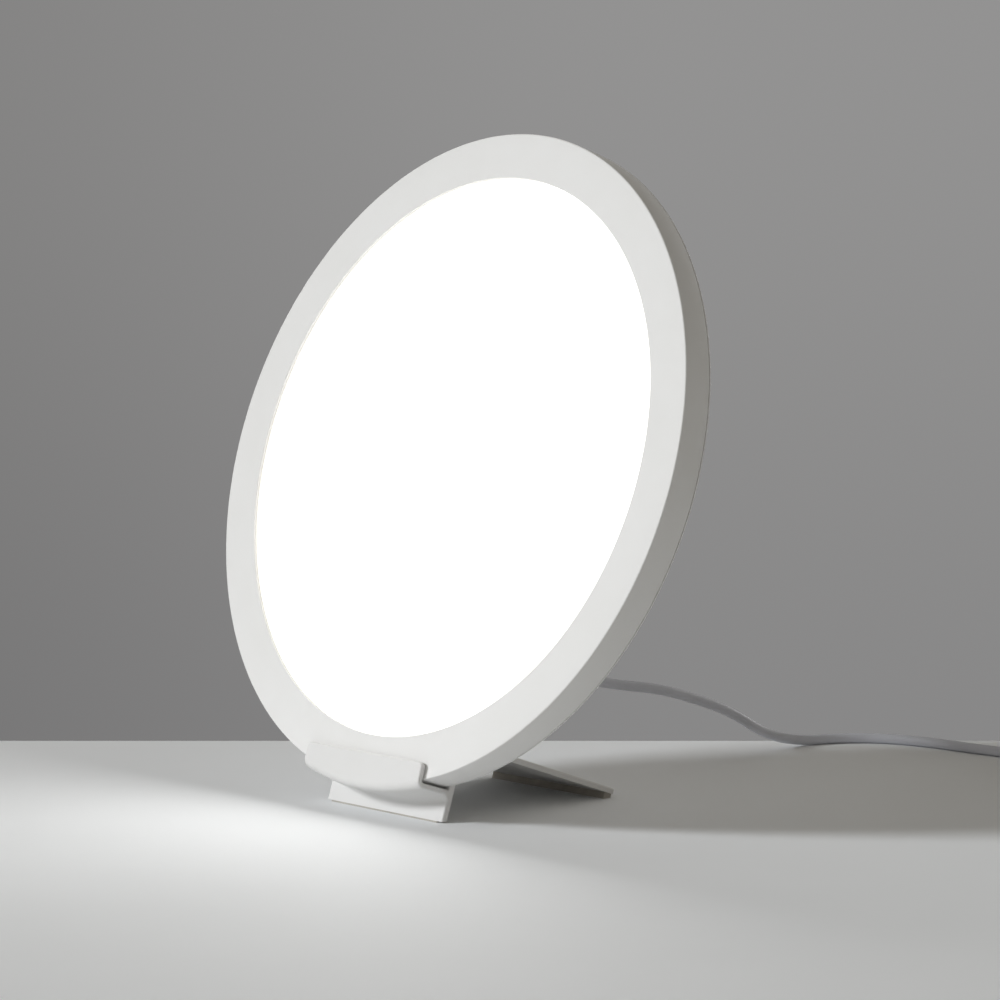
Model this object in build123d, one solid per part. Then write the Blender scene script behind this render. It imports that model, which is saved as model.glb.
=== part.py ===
from build123d import *

import math
import os

# Light therapy lamp: a round edge-lit head that stands in a moulded cradle. Millimetres, +Z up.
# X runs along the stand's width and the lit face looks towards -Y. The origin is on the table,
# in the middle of the lamp's own outline, cord left out.
# Head and stand are drawn upright: x across, y the depth behind the front ring's face, z the
# height above the head's centre. stand_up() then leans them back together.

# Head shells
HEAD_RADIUS = 180.0
HEAD_DEPTH = 18.5
RING_WIDTH = 25.0
FACE_WALL = 2.0
RIM_WALL = 2.0
EDGE_ROUND = 0.8
COVER_WALL = 2.0
COVER_EDGE = 1.0
SEAM = 0.4
FIT_GAP = 0.2

# Optical stack, from the front to the back
DIFFUSER_LAP = 3.3
DIFFUSER_THICK = 2.0
GUIDE_THICK = 3.0
REFLECTOR_THICK = 0.3
FOAM_THICK = 0.8
BACK_PLATE_THICK = 1.0

# LEDs on a strip, round the edge of the light guide
LED_COUNT = 72
LED_LONG = 3.0
LED_WIDE = 1.4
LED_HIGH = 0.8
LED_CLEAR = 0.4
STRIP_THICK = 0.3
STRIP_WIDE = 3.4
GLUE_GAP = 0.05
LED_RING_WALL = 1.5
WIRE_ANGLE = 190.0
WIRE_SLIT = 5.0

# Screws and the bosses that take them
BOSS_COUNT = 8
PLATE_BOSS_RADIUS = 2.5
PLATE_BOSS_GAP = 0.4
PLATE_EDGE = 0.3
COVER_BOSS_RADIUS = 3.25
COVER_BOSS_SUNK = 0.5
PLATE_SCREW_RADIUS = 1.2
PLATE_SCREW_LONG = 5.0
PLATE_SCREW_HEAD = 2.3
PLATE_SCREW_HEAD_HIGH = 1.5
COVER_SCREW_RADIUS = 1.4
COVER_SCREW_LONG = 8.5
COVER_SCREW_HEAD = 2.9
COVER_SCREW_HEAD_HIGH = 1.45
CROSS_LONG = 3.2
CROSS_WIDE = 0.8
CROSS_DEEP = 0.8
SCREW_GAP = 0.05
HOLE_GAP = 0.2

# Raised housing for the electronics, on the back cover
HOUSING_WIDTH = 190.0
HOUSING_HEIGHT = 124.0
HOUSING_CENTRE = -66.0
HOUSING_PROUD = 11.0
HOUSING_CORNER = 20.0
HOUSING_DRAFT = 2.5
HOUSING_EDGE = 3.0
VENT_COUNT = 14
VENT_WIDE = 2.2
VENT_LONG = 30.0
VENT_PITCH = 5.6

# LED driver board and its fixing. It reaches from the housing's side to just past the middle.
DRIVER_HEIGHT = 58.0
DRIVER_SIDE_INSET = 11.0
DRIVER_TOP_INSET = 10.0
DRIVER_PAST_MIDDLE = 14.0
DRIVER_STANDOFF = 3.0
BOARD_THICK = 1.6
BOARD_SCREW_INSET = 4.0
SHEET_THICK = 0.3
SHEET_MARGIN = 4.0
STANDOFF_RADIUS = 2.5
BOARD_SCREW_RADIUS = 1.0
BOARD_SCREW_LONG = 2.4
BOARD_SCREW_HEAD = 2.0
BOARD_SCREW_HEAD_HIGH = 1.4

# Parts on the driver board. SIDE is a part's distance from the nearer side edge, RISE the one
# from the lower edge, both to its middle.
TRANSFORMER_WIDE = 22.0
TRANSFORMER_HIGH = 20.0
TRANSFORMER_TALL = 12.0
TRANSFORMER_SIDE = 40.0
TRANSFORMER_RISE = 34.0
WINDING_SIZE = 14.0
WINDING_SUNK = 1.0
CAN_RADIUS = 5.0
CAN_TALL = 12.5
CAN_ROUND = 0.8
CAN_PITCH = 12.0
CAN_SIDE = 15.0
CAN_RISE = 43.0
INPUT_CAN_RISE = 21.0
FILM_WIDE = 13.0
FILM_HIGH = 6.0
FILM_TALL = 10.0
FILM_SIDE = 35.0
FILM_RISE = 17.0
CHOKE_RADIUS = 7.0
CHOKE_HOLE = 3.0
CHOKE_TALL = 7.0
CHOKE_SIDE = 13.0
CHOKE_RISE = 22.0
FUSE_RADIUS = 2.2
FUSE_LONG = 11.0
FUSE_CAP_RADIUS = 2.5
FUSE_CAP_LONG = 2.0
FUSE_SIDE = 37.0
FUSE_RISE = 7.0
POWER_CHIP_WIDE = 8.0
POWER_CHIP_HIGH = 6.0
POWER_CHIP_TALL = 2.2
POWER_CHIP_SIDE = 27.0
POWER_CHIP_RISE = 9.0
DRIVE_CHIP_SIZE = 5.0
DRIVE_CHIP_TALL = 1.5
DRIVE_CHIP_SIDE = 19.0
DRIVE_CHIP_RISE = 38.0
TERMINAL_WIDE = 12.0
TERMINAL_HIGH = 9.0
TERMINAL_TALL = 10.0
TERMINAL_SLOT = 2.0
CONNECTOR_WIDE = 7.0
CONNECTOR_HIGH = 6.0
CONNECTOR_TALL = 6.0

# Control board, its switches and the buttons in the cover
CONTROL_HEIGHT = 28.0
CONTROL_SIDE_INSET = 9.0
CONTROL_DROP = 38.0
CONTROL_THICK = 1.2
BOARD_SPACING = 12.0
CONTROL_CHIP_SIZE = 5.0
CONTROL_CHIP_TALL = 1.0
CONTROL_CHIP_DROP = 5.0
BUTTON_PITCH = 18.0
POWER_RADIUS = 6.5
BUTTON_RADIUS = 4.5
BUTTON_GAP = 0.3
BUTTON_PROUD = 1.0
BUTTON_TRAVEL = 0.6
BUTTON_ROUND = 0.5
FLANGE_LAP = 1.2
FLANGE_THICK = 0.9
FLANGE_GAP = 0.1
SWITCH_SIDE = 6.0
SWITCH_HIGH = 2.6
PLUNGER_RADIUS = 1.5
PLUNGER_REACH = 1.0
PLUNGER_SUNK = 0.4
PLUNGER_GAP = 0.15

# Cable gland with its tapered boot
GLAND_RISE = 30.0
GLAND_NECK = 4.9
GLAND_NECK_GAP = 0.1
GLAND_INSIDE = 5.0
GLAND_NUT_RADIUS = 8.0
GLAND_NUT_THICK = 3.2
BOOT_FLANGE_RADIUS = 7.5
BOOT_FLANGE_THICK = 2.0
BOOT_LONG = 30.0
BOOT_BASE = 5.6
BOOT_TIP = 3.9
BOOT_GROOVES = 5
BOOT_GROOVE_WIDE = 1.4
BOOT_GROOVE_DEEP = 0.9

# Wiring inside
MAINS_WIRE_RADIUS = 1.1
MAINS_WIRE_SPACING = 3.8
LED_WIRE_RADIUS = 0.7
LED_WIRE_SPACING = 2.0
MAINS_WIRE_LEVEL = 5.0
MAINS_WIRE_BEND = 3.0
LED_WIRE_LEVEL = 2.0
LED_WIRE_BEND = 1.5
LED_WIRE_END_BEND = 1.0
RIBBON_THICK = 0.8
RIBBON_WIDE = 8.0
RIBBON_INSET = 3.5

# Stand, with the cradle that the head drops into
LEAN = 17.7
SEAT_HEIGHT = 18.3
STAND_WIDTH = 97.0
PLATE = 3.2
HEAD_CLEAR = 0.4
SEAT_GAP = 1.4
LIP_TOP = 15.2
LIP_CORNER = 5.0
LIP_EDGE = 1.2
LIP_END_ROUND = 3.0
CRADLE_FILLET = 0.8
LEG_FILLET = 3.5
APEX_TOP = 31.9
APEX_ROUND = 5.0
APEX_FILLET = 3.0
ARM_DROP = 1.3
REAR_EDGE = 1.4
REAR_CLEAR = 2.0
GUSSET_THICK = 3.0
GUSSET_LEG = 15.0
GUSSET_X = 26.0
PAD_THICK = 1.1
PAD_INNER_X = 16.0
PAD_OUTER_X = 38.0
PAD_EDGE = 3.0
FRONT_FOOT_THICK = 0.8
FRONT_FOOT_INSET = 4.0
REAR_FOOT_LONG = 5.0
REAR_FOOT_INSET = 2.0

# Cord, the coil of its spare length, and its plug
CORD_RADIUS = 3.0
FIRST_RUN = 32.0
COIL_CENTRE = (122.0, 386.5)
COIL_TURN_RADIUS = 34.5
COIL_COLUMNS = 4
COIL_LAYERS = 2
COIL_EDGE = 2.5
TIE_THICK = 0.8
TIE_WIDE = 10.0
TIE_GAP = 0.8
TIE_ANGLE = 60.0
PLUG_WIDE = 26.0
PLUG_THICK = 13.7
PLUG_LONG = 36.0
PLUG_COLLAR = 8.0
PLUG_NOSE_LONG = 14.0
PLUG_NOSE_WIDE = 10.0
PLUG_SHOULDER_LONG = 6.0
PLUG_CORNER_SHARE = 0.35
PIN_RADIUS = 2.0
PIN_CORE_RADIUS = 1.5
PIN_SPACING = 18.6
PIN_LONG = 19.0
PIN_SLEEVE_LONG = 10.0

# Lead from the boot's tip to the coil, after the tip and the first point straight behind it.
LEAD_ROUTE = [
    (-4.7, 84.0, 61.0),
    (-7.1, 120.0, 52.2),
    (-9.5, 156.0, 46.6),
    (-11.8, 190.0, 37.2),
    (-13.9, 222.0, 26.0),
    (-15.9, 252.0, 9.5),
    (-15.0, 280.0, 3.0),
    (-8.0, 307.0, 3.0),
    (12.0, 327.0, 3.0),
    (40.0, 335.0, 3.0),
    (71.0, 336.5, 3.0),
    (100.0, 339.5, 3.0),
    (127.8, 343.4, 3.8),
]
# Tail from the coil's top layer to the plug, which points along +Y.
TAIL_ROUTE = [
    (132.9, 344.4, 9.8),
    (158.0, 350.5, 8.6),
    (180.0, 363.5, 7.6),
    (190.0, 387.0, 6.85),
    (190.0, 409.0, 6.85),
]

# Depths worked out from the sizes above
LIT_RADIUS = HEAD_RADIUS - RING_WIDTH
COVER_INNER = HEAD_DEPTH - COVER_WALL
BEZEL_END = HEAD_DEPTH - COVER_EDGE - SEAM
GUIDE_FRONT = FACE_WALL + DIFFUSER_THICK
REFLECTOR_FRONT = GUIDE_FRONT + GUIDE_THICK
FOAM_FRONT = REFLECTOR_FRONT + REFLECTOR_THICK
PLATE_FRONT = FOAM_FRONT + FOAM_THICK
PLATE_BACK = PLATE_FRONT + BACK_PLATE_THICK
HOUSING_BACK = HEAD_DEPTH + HOUSING_PROUD
HOUSING_INNER = HOUSING_BACK - COVER_WALL

# Radii of the light engine, from the guide outwards
GUIDE_RADIUS = LIT_RADIUS + DIFFUSER_LAP
LED_FACE_RADIUS = GUIDE_RADIUS + LED_CLEAR
STRIP_INNER = LED_FACE_RADIUS + LED_HIGH + GLUE_GAP
STRIP_OUTER = STRIP_INNER + STRIP_THICK
LED_RING_INNER = STRIP_OUTER + GLUE_GAP
LED_RING_OUTER = LED_RING_INNER + LED_RING_WALL
PLATE_BOSS_CIRCLE = LED_RING_OUTER + PLATE_BOSS_GAP + PLATE_BOSS_RADIUS
BACK_PLATE_RADIUS = PLATE_BOSS_CIRCLE + PLATE_BOSS_RADIUS + PLATE_EDGE
COVER_BOSS_CIRCLE = HEAD_RADIUS - RIM_WALL + COVER_BOSS_SUNK - COVER_BOSS_RADIUS
GUIDE_MIDDLE = GUIDE_FRONT + GUIDE_THICK / 2

# Places in the housing
HOUSING_TOP = HOUSING_CENTRE + HOUSING_HEIGHT / 2
HOUSING_BOTTOM = HOUSING_CENTRE - HOUSING_HEIGHT / 2
DRIVER_LEFT = -HOUSING_WIDTH / 2 + DRIVER_SIDE_INSET
DRIVER_WIDTH = DRIVER_PAST_MIDDLE - DRIVER_LEFT
DRIVER_X = DRIVER_LEFT + DRIVER_WIDTH / 2
DRIVER_Z = HOUSING_TOP - DRIVER_TOP_INSET - DRIVER_HEIGHT / 2
DRIVER_FRONT = PLATE_BACK + DRIVER_STANDOFF
DRIVER_BACK = DRIVER_FRONT + BOARD_THICK
CONTROL_LEFT = DRIVER_PAST_MIDDLE + BOARD_SPACING
CONTROL_WIDTH = HOUSING_WIDTH / 2 - CONTROL_SIDE_INSET - CONTROL_LEFT
CONTROL_X = CONTROL_LEFT + CONTROL_WIDTH / 2
CONTROL_Z = HOUSING_TOP - CONTROL_DROP
FLANGE_BACK = HOUSING_INNER - FLANGE_GAP
FLANGE_FRONT = FLANGE_BACK - FLANGE_THICK
SWITCH_TOP = FLANGE_FRONT - PLUNGER_REACH
CONTROL_BACK = SWITCH_TOP - SWITCH_HIGH
CONTROL_FRONT = CONTROL_BACK - CONTROL_THICK
GLAND_Z = HOUSING_BOTTOM + GLAND_RISE
GLAND_INNER_END = HOUSING_INNER - GLAND_INSIDE
BOOT_START = HOUSING_BACK + BOOT_FLANGE_THICK
BOOT_END = BOOT_START + BOOT_LONG
BUTTONS = {
    "power": (CONTROL_X - BUTTON_PITCH, POWER_RADIUS),
    "brightness": (CONTROL_X, BUTTON_RADIUS),
    "timer": (CONTROL_X + BUTTON_PITCH, BUTTON_RADIUS),
}

# Stand section: depths and heights, the heights from the head's centre
LEAN_COS = math.cos(math.radians(LEAN))
LEAN_SIN = math.sin(math.radians(LEAN))
SEAT_RADIUS = HEAD_RADIUS + SEAT_GAP
FLOOR_RADIUS = SEAT_RADIUS + PLATE
LIP_BACK = -HEAD_CLEAR
LIP_FRONT = LIP_BACK - PLATE
LEG_FRONT = HEAD_DEPTH + HEAD_CLEAR
LEG_BACK = LEG_FRONT + PLATE
APEX_Z = APEX_TOP - HEAD_RADIUS
CENTRE_HEIGHT = SEAT_HEIGHT + HEAD_RADIUS * LEAN_COS
# The rear arm falls ARM_DROP more than square to the leg. It ends where its underside is
# REAR_CLEAR above the table. Its corner is where the underside meets the leg's back.
DROP_COS = math.cos(math.radians(ARM_DROP))
DROP_SIN = math.sin(math.radians(ARM_DROP))
FALL_COS = math.cos(math.radians(LEAN + ARM_DROP))
FALL_SIN = math.sin(math.radians(LEAN + ARM_DROP))
ARM_CORNER_Z = APEX_Z - PLATE * (1 + DROP_SIN) / DROP_COS
APEX_HEIGHT = CENTRE_HEIGHT + APEX_Z * LEAN_COS - LEG_FRONT * LEAN_SIN
ARM_LONG = (APEX_HEIGHT - PLATE * FALL_COS - REAR_CLEAR) / FALL_SIN
REAR_END = LEG_FRONT + ARM_LONG * DROP_COS
REAR_TOP_Z = APEX_Z - ARM_LONG * DROP_SIN
# The front of the outline is the lip's rounded foot, the back is the arm's rounded top edge.
OUTLINE_FRONT = (LIP_FRONT + LIP_CORNER) * LEAN_COS - (FLOOR_RADIUS - LIP_CORNER) * LEAN_SIN - LIP_CORNER
OUTLINE_BACK = REAR_END * LEAN_COS + REAR_TOP_Z * LEAN_SIN + REAR_EDGE * (1 - FALL_COS - FALL_SIN)
STANDING = Location((0, -(OUTLINE_FRONT + OUTLINE_BACK) / 2, CENTRE_HEIGHT), (-LEAN, 0, 0))

TALL = 400.0


def stand_up(shape):
    """Lean an upright shape back and set it at its height over the table."""
    return STANDING * shape


def slab(sketch, start, end):
    """Extrude a sketch drawn in x and height, from one depth to another."""
    face = Plane(origin=(0, start, 0), x_dir=(1, 0, 0), z_dir=(0, -1, 0))
    return extrude(face * sketch, amount=end - start, dir=(0, 1, 0))


def disc(radius, start, end, x=0.0, z=0.0):
    return slab(Pos(x, z) * Circle(radius), start, end)


def ring(outer, inner, start, end):
    return slab(Circle(outer) - Circle(inner), start, end)


def block(width, height, start, end, x=0.0, z=0.0):
    return slab(Pos(x, z) * Rectangle(width, height), start, end)


def cone(start_radius, end_radius, start, end, x=0.0, z=0.0):
    """A round bar along the depth, of one radius at its start and another at its end."""
    outline = make_face(Polyline((0, start), (start_radius, start), (end_radius, end), (0, end), close=True))
    return Pos(x, 0, z) * revolve(outline, axis=Axis.Y)


def around(radius, phase=0.0):
    """Places of the bosses on one circle, as x and height."""
    turns = [math.radians(phase + 360.0 * k / BOSS_COUNT) for k in range(BOSS_COUNT)]
    return [(radius * math.cos(t), radius * math.sin(t)) for t in turns]


def plate_bosses():
    return around(PLATE_BOSS_CIRCLE)


def cover_bosses():
    return around(COVER_BOSS_CIRCLE, 180.0 / BOSS_COUNT)


def group(shapes):
    return Compound(children=list(shapes))


def edges_at(shape, depth=None, radius=None, z=None):
    """Edges of an upright shape that lie at one depth and at one radius or height."""
    found = []
    for edge in shape.edges():
        points = [edge @ 0, edge @ 0.5, edge @ 1]
        on_depth = depth is None or all(abs(p.Y - depth) < 0.01 for p in points)
        on_radius = radius is None or all(abs(math.hypot(p.X, p.Z) - radius) < 0.01 for p in points)
        on_height = z is None or all(abs(p.Z - z) < 0.01 for p in points)
        if on_depth and on_radius and on_height:
            found.append(edge)
    return found


# Head shells


def front_bezel():
    """Ring, rim and screw bosses in one moulding."""
    body = ring(HEAD_RADIUS, LIT_RADIUS, 0, FACE_WALL)
    body += ring(HEAD_RADIUS, HEAD_RADIUS - RIM_WALL, FACE_WALL, BEZEL_END)
    body = fillet(edges_at(body, depth=0), EDGE_ROUND)
    for x, z in plate_bosses():
        body += disc(PLATE_BOSS_RADIUS, FACE_WALL, PLATE_FRONT, x, z)
    for x, z in cover_bosses():
        body += disc(COVER_BOSS_RADIUS, FACE_WALL, COVER_INNER, x, z)
    for x, z in plate_bosses():
        end = PLATE_BACK - PLATE_SCREW_LONG - HOLE_GAP
        body -= disc(PLATE_SCREW_RADIUS + SCREW_GAP, end, PLATE_FRONT, x, z)
    for x, z in cover_bosses():
        end = HEAD_DEPTH - COVER_SCREW_LONG - HOLE_GAP
        body -= disc(COVER_SCREW_RADIUS + SCREW_GAP, end, COVER_INNER, x, z)
    return body


def housing_shape(margin, start, end):
    """Drafted block with rounded corners, drawn in by a margin on each side."""
    place = Pos(0, HOUSING_CENTRE)
    wide = HOUSING_WIDTH - 2 * margin
    high = HOUSING_HEIGHT - 2 * margin
    base = place * RectangleRounded(wide, high, HOUSING_CORNER - margin)
    corner = HOUSING_CORNER - margin - HOUSING_DRAFT
    top = place * RectangleRounded(wide - 2 * HOUSING_DRAFT, high - 2 * HOUSING_DRAFT, corner)
    face = Plane(origin=(0, start, 0), x_dir=(1, 0, 0), z_dir=(0, -1, 0))
    return loft([face * base, face.offset(start - end) * top])


def vent_slots():
    """Row of upright slots over the driver."""
    row = []
    for k in range(VENT_COUNT):
        x = DRIVER_X + (k - (VENT_COUNT - 1) / 2) * VENT_PITCH
        slot = Pos(x, DRIVER_Z) * Rot(0, 0, 90) * SlotOverall(VENT_LONG, VENT_WIDE)
        row.append(slab(slot, HOUSING_INNER - 1, HOUSING_BACK + 1))
    return row


def back_cover():
    """Flat dish with the raised housing, its openings and the screw seats."""
    body = disc(HEAD_RADIUS - RIM_WALL - FIT_GAP, COVER_INNER, HEAD_DEPTH)
    body += disc(HEAD_RADIUS, HEAD_DEPTH - COVER_EDGE, HEAD_DEPTH)
    body = fillet(edges_at(body, depth=HEAD_DEPTH), COVER_EDGE / 2)
    bump = housing_shape(0, HEAD_DEPTH, HOUSING_BACK)
    bump = fillet(edges_at(bump, depth=HOUSING_BACK), HOUSING_EDGE)
    body += bump
    body -= housing_shape(COVER_WALL, COVER_INNER, HOUSING_INNER)
    for x, z in cover_bosses():
        sink_end = HEAD_DEPTH + SCREW_GAP
        sink_start = sink_end - COVER_SCREW_HEAD_HIGH
        body -= disc(COVER_SCREW_RADIUS + HOLE_GAP, COVER_INNER, HEAD_DEPTH, x, z)
        body -= cone(COVER_SCREW_RADIUS + HOLE_GAP, COVER_SCREW_HEAD + HOLE_GAP, sink_start, sink_end, x, z)
    body -= disc(GLAND_NECK + GLAND_NECK_GAP, HOUSING_INNER, HOUSING_BACK, 0, GLAND_Z)
    for x, radius in BUTTONS.values():
        body -= disc(radius + BUTTON_GAP, HOUSING_INNER, HOUSING_BACK, x, CONTROL_Z)
    for slot in vent_slots():
        body -= slot
    return body


def screw(radius, long, head_radius, head_high, seat, x, z):
    """Pan-head screw: its head stands behind the seat and its shank runs forward."""
    shank = disc(radius, seat - long, seat, x, z)
    head = disc(head_radius, seat, seat + head_high, x, z)
    head = fillet(edges_at(head, depth=seat + head_high), head_high / 3)
    return cross_cut(shank + head, seat + head_high, x, z)


def cross_cut(body, end, x, z):
    """Cross recess in a screw's head."""
    deep = end - CROSS_DEEP
    body -= block(CROSS_LONG, CROSS_WIDE, deep, end, x, z)
    return body - block(CROSS_WIDE, CROSS_LONG, deep, end, x, z)


def cover_screw(x, z):
    """Countersunk screw, flush with the cover."""
    under = HEAD_DEPTH - COVER_SCREW_HEAD_HIGH
    body = disc(COVER_SCREW_RADIUS, HEAD_DEPTH - COVER_SCREW_LONG, under, x, z)
    body += cone(COVER_SCREW_RADIUS, COVER_SCREW_HEAD, under, HEAD_DEPTH, x, z)
    return cross_cut(body, HEAD_DEPTH, x, z)


# Light engine


def wire_slit(start, end):
    """Radial gap through the LED ring and its strip, where the leads come in."""
    across = Rot(0, 0, WIRE_ANGLE) * Pos(LED_RING_OUTER, 0) * Rectangle(4 * LED_RING_WALL, WIRE_SLIT)
    return slab(across, start, end)


def led_ring():
    """Aluminium strip bent to a ring, which carries the LEDs and takes their heat."""
    return ring(LED_RING_OUTER, LED_RING_INNER, FACE_WALL, PLATE_FRONT) - wire_slit(FACE_WALL, PLATE_FRONT)


def led_strip():
    start = GUIDE_MIDDLE - STRIP_WIDE / 2
    end = GUIDE_MIDDLE + STRIP_WIDE / 2
    return ring(STRIP_OUTER, STRIP_INNER, start, end) - wire_slit(start, end)


def led_packages():
    """LEDs spread evenly round the ring, each looking at the guide's edge."""
    start = GUIDE_MIDDLE - LED_WIDE / 2
    end = GUIDE_MIDDLE + LED_WIDE / 2
    package = Pos(LED_FACE_RADIUS + LED_HIGH / 2, 0) * Rectangle(LED_HIGH, LED_LONG)
    turns = [WIRE_ANGLE + 360.0 * (k + 0.5) / LED_COUNT for k in range(LED_COUNT)]
    return group(slab(Rot(0, 0, turn) * package, start, end) for turn in turns)


def lead_exit():
    """Where the LED leads pass the back plate, as x and height."""
    turn = math.radians(WIRE_ANGLE)
    radius = LED_RING_OUTER + PLATE_BOSS_RADIUS
    return radius * math.cos(turn), radius * math.sin(turn)


def back_plate():
    body = disc(BACK_PLATE_RADIUS, PLATE_FRONT, PLATE_BACK)
    for x, z in plate_bosses():
        body -= disc(PLATE_SCREW_RADIUS + HOLE_GAP, PLATE_FRONT, PLATE_BACK, x, z)
    x, z = lead_exit()
    hole = LED_WIRE_SPACING / 2 + LED_WIRE_RADIUS + HOLE_GAP
    return body - disc(hole, PLATE_FRONT, PLATE_BACK, x, z)


# Electronics in the housing


def corners(width, height, x, z):
    """Four screw places, inset from a board's corners."""
    half_wide = width / 2 - BOARD_SCREW_INSET
    half_high = height / 2 - BOARD_SCREW_INSET
    return [(x + i * half_wide, z + j * half_high) for i in (-1, 1) for j in (-1, 1)]


def driver_corners():
    return corners(DRIVER_WIDTH, DRIVER_HEIGHT, DRIVER_X, DRIVER_Z)


def control_corners():
    return corners(CONTROL_WIDTH, CONTROL_HEIGHT, CONTROL_X, CONTROL_Z)


def board(width, height, front, back, x, z, places):
    body = block(width, height, front, back, x, z)
    for hole_x, hole_z in places:
        body -= disc(BOARD_SCREW_RADIUS + HOLE_GAP, front, back, hole_x, hole_z)
    return body


def driver_board():
    depths = (DRIVER_FRONT, DRIVER_BACK)
    return board(DRIVER_WIDTH, DRIVER_HEIGHT, *depths, DRIVER_X, DRIVER_Z, driver_corners())


def control_board():
    depths = (CONTROL_FRONT, CONTROL_BACK)
    return board(CONTROL_WIDTH, CONTROL_HEIGHT, *depths, CONTROL_X, CONTROL_Z, control_corners())


def insulation_sheet():
    """Thin sheet between the back plate and the driver, pierced by the standoffs."""
    wide = DRIVER_WIDTH + 2 * SHEET_MARGIN
    high = DRIVER_HEIGHT + 2 * SHEET_MARGIN
    body = block(wide, high, PLATE_BACK, PLATE_BACK + SHEET_THICK, DRIVER_X, DRIVER_Z)
    for x, z in driver_corners():
        body -= disc(STANDOFF_RADIUS + HOLE_GAP, PLATE_BACK, PLATE_BACK + SHEET_THICK, x, z)
    return body


def standoff(end, x, z):
    post = disc(STANDOFF_RADIUS, PLATE_BACK, end, x, z)
    return post - disc(BOARD_SCREW_RADIUS + SCREW_GAP, end - BOARD_SCREW_LONG, end, x, z)


def board_standoffs():
    posts = [standoff(DRIVER_FRONT, x, z) for x, z in driver_corners()]
    return group(posts + [standoff(CONTROL_FRONT, x, z) for x, z in control_corners()])


def board_screws():
    sizes = (BOARD_SCREW_HEAD, BOARD_SCREW_HEAD_HIGH)
    driver_long = BOARD_SCREW_LONG + BOARD_THICK - HOLE_GAP
    control_long = BOARD_SCREW_LONG + CONTROL_THICK - HOLE_GAP
    screws = [screw(BOARD_SCREW_RADIUS, driver_long, *sizes, DRIVER_BACK, x, z) for x, z in driver_corners()]
    for x, z in control_corners():
        screws.append(screw(BOARD_SCREW_RADIUS, control_long, *sizes, CONTROL_BACK, x, z))
    return group(screws)


def on_left(shape, side, rise):
    """Stand a part on the driver board, measured from the board's outer and lower edges."""
    return Pos(DRIVER_LEFT + side, DRIVER_BACK, DRIVER_Z - DRIVER_HEIGHT / 2 + rise) * shape


def on_right(shape, side, rise):
    """Stand a part on the driver board, measured from the edge past the middle."""
    return on_left(shape, DRIVER_WIDTH - side, rise)


def transformer():
    """Ferrite core with the winding through its window."""
    core = block(TRANSFORMER_WIDE, TRANSFORMER_HIGH, 0, TRANSFORMER_TALL)
    window = block(WINDING_SIZE, WINDING_SIZE, TRANSFORMER_TALL - WINDING_SUNK, TRANSFORMER_TALL)
    return on_left(core - window, TRANSFORMER_SIDE, TRANSFORMER_RISE)


def bulk_capacitors():
    can = disc(CAN_RADIUS, 0, CAN_TALL)
    can = fillet(edges_at(can, depth=CAN_TALL), CAN_ROUND)
    pair = [on_right(can, CAN_SIDE + k * CAN_PITCH, CAN_RISE) for k in range(2)]
    return group(pair + [on_left(can, CAN_SIDE, INPUT_CAN_RISE)])


def film_capacitor():
    return on_right(block(FILM_WIDE, FILM_HIGH, 0, FILM_TALL), FILM_SIDE, FILM_RISE)


def input_choke():
    return on_right(ring(CHOKE_RADIUS, CHOKE_HOLE, 0, CHOKE_TALL), CHOKE_SIDE, CHOKE_RISE)


def fuse():
    """Ceramic fuse with two end caps, lying on the board."""
    lying = Rot(0, 90, 0)
    body = lying * Cylinder(FUSE_RADIUS, FUSE_LONG)
    cap = lying * Cylinder(FUSE_CAP_RADIUS, FUSE_CAP_LONG)
    for side in (-1, 1):
        body += Pos(side * (FUSE_LONG - FUSE_CAP_LONG) / 2, 0, 0) * cap
    return on_right(Pos(0, FUSE_CAP_RADIUS, 0) * body, FUSE_SIDE, FUSE_RISE)


def power_chips():
    power = block(POWER_CHIP_WIDE, POWER_CHIP_HIGH, 0, POWER_CHIP_TALL)
    drive = block(DRIVE_CHIP_SIZE, DRIVE_CHIP_SIZE, 0, DRIVE_CHIP_TALL)
    power = on_left(power, POWER_CHIP_SIDE, POWER_CHIP_RISE)
    return group([power, on_left(drive, DRIVE_CHIP_SIDE, DRIVE_CHIP_RISE)])


def terminal_block():
    """Two-way block on the board's lower edge, over the gland."""
    body = block(TERMINAL_WIDE, TERMINAL_HIGH, 0, TERMINAL_TALL)
    slot_wide = TERMINAL_WIDE - 2 * TERMINAL_SLOT
    body -= block(slot_wide, TERMINAL_SLOT, TERMINAL_TALL - TERMINAL_SLOT, TERMINAL_TALL)
    return on_right(body, DRIVER_PAST_MIDDLE, TERMINAL_HIGH / 2)


def led_connector():
    """Two-way header on the board's outer edge, level with the leads."""
    rise = lead_exit()[1] - DRIVER_Z + DRIVER_HEIGHT / 2
    return on_left(block(CONNECTOR_WIDE, CONNECTOR_HIGH, 0, CONNECTOR_TALL), CONNECTOR_WIDE / 2, rise)


def control_chip():
    x = CONTROL_X - BUTTON_PITCH / 2
    z = CONTROL_Z + CONTROL_HEIGHT / 2 - CONTROL_CHIP_DROP
    return block(CONTROL_CHIP_SIZE, CONTROL_CHIP_SIZE, CONTROL_BACK, CONTROL_BACK + CONTROL_CHIP_TALL, x, z)


def switch_body(x):
    """Tactile switch with the well that its plunger works in."""
    body = block(SWITCH_SIDE, SWITCH_SIDE, CONTROL_BACK, SWITCH_TOP, x, CONTROL_Z)
    deep = PLUNGER_SUNK + BUTTON_TRAVEL + PLUNGER_GAP
    return body - disc(PLUNGER_RADIUS + PLUNGER_GAP, SWITCH_TOP - deep, SWITCH_TOP, x, CONTROL_Z)


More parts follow.
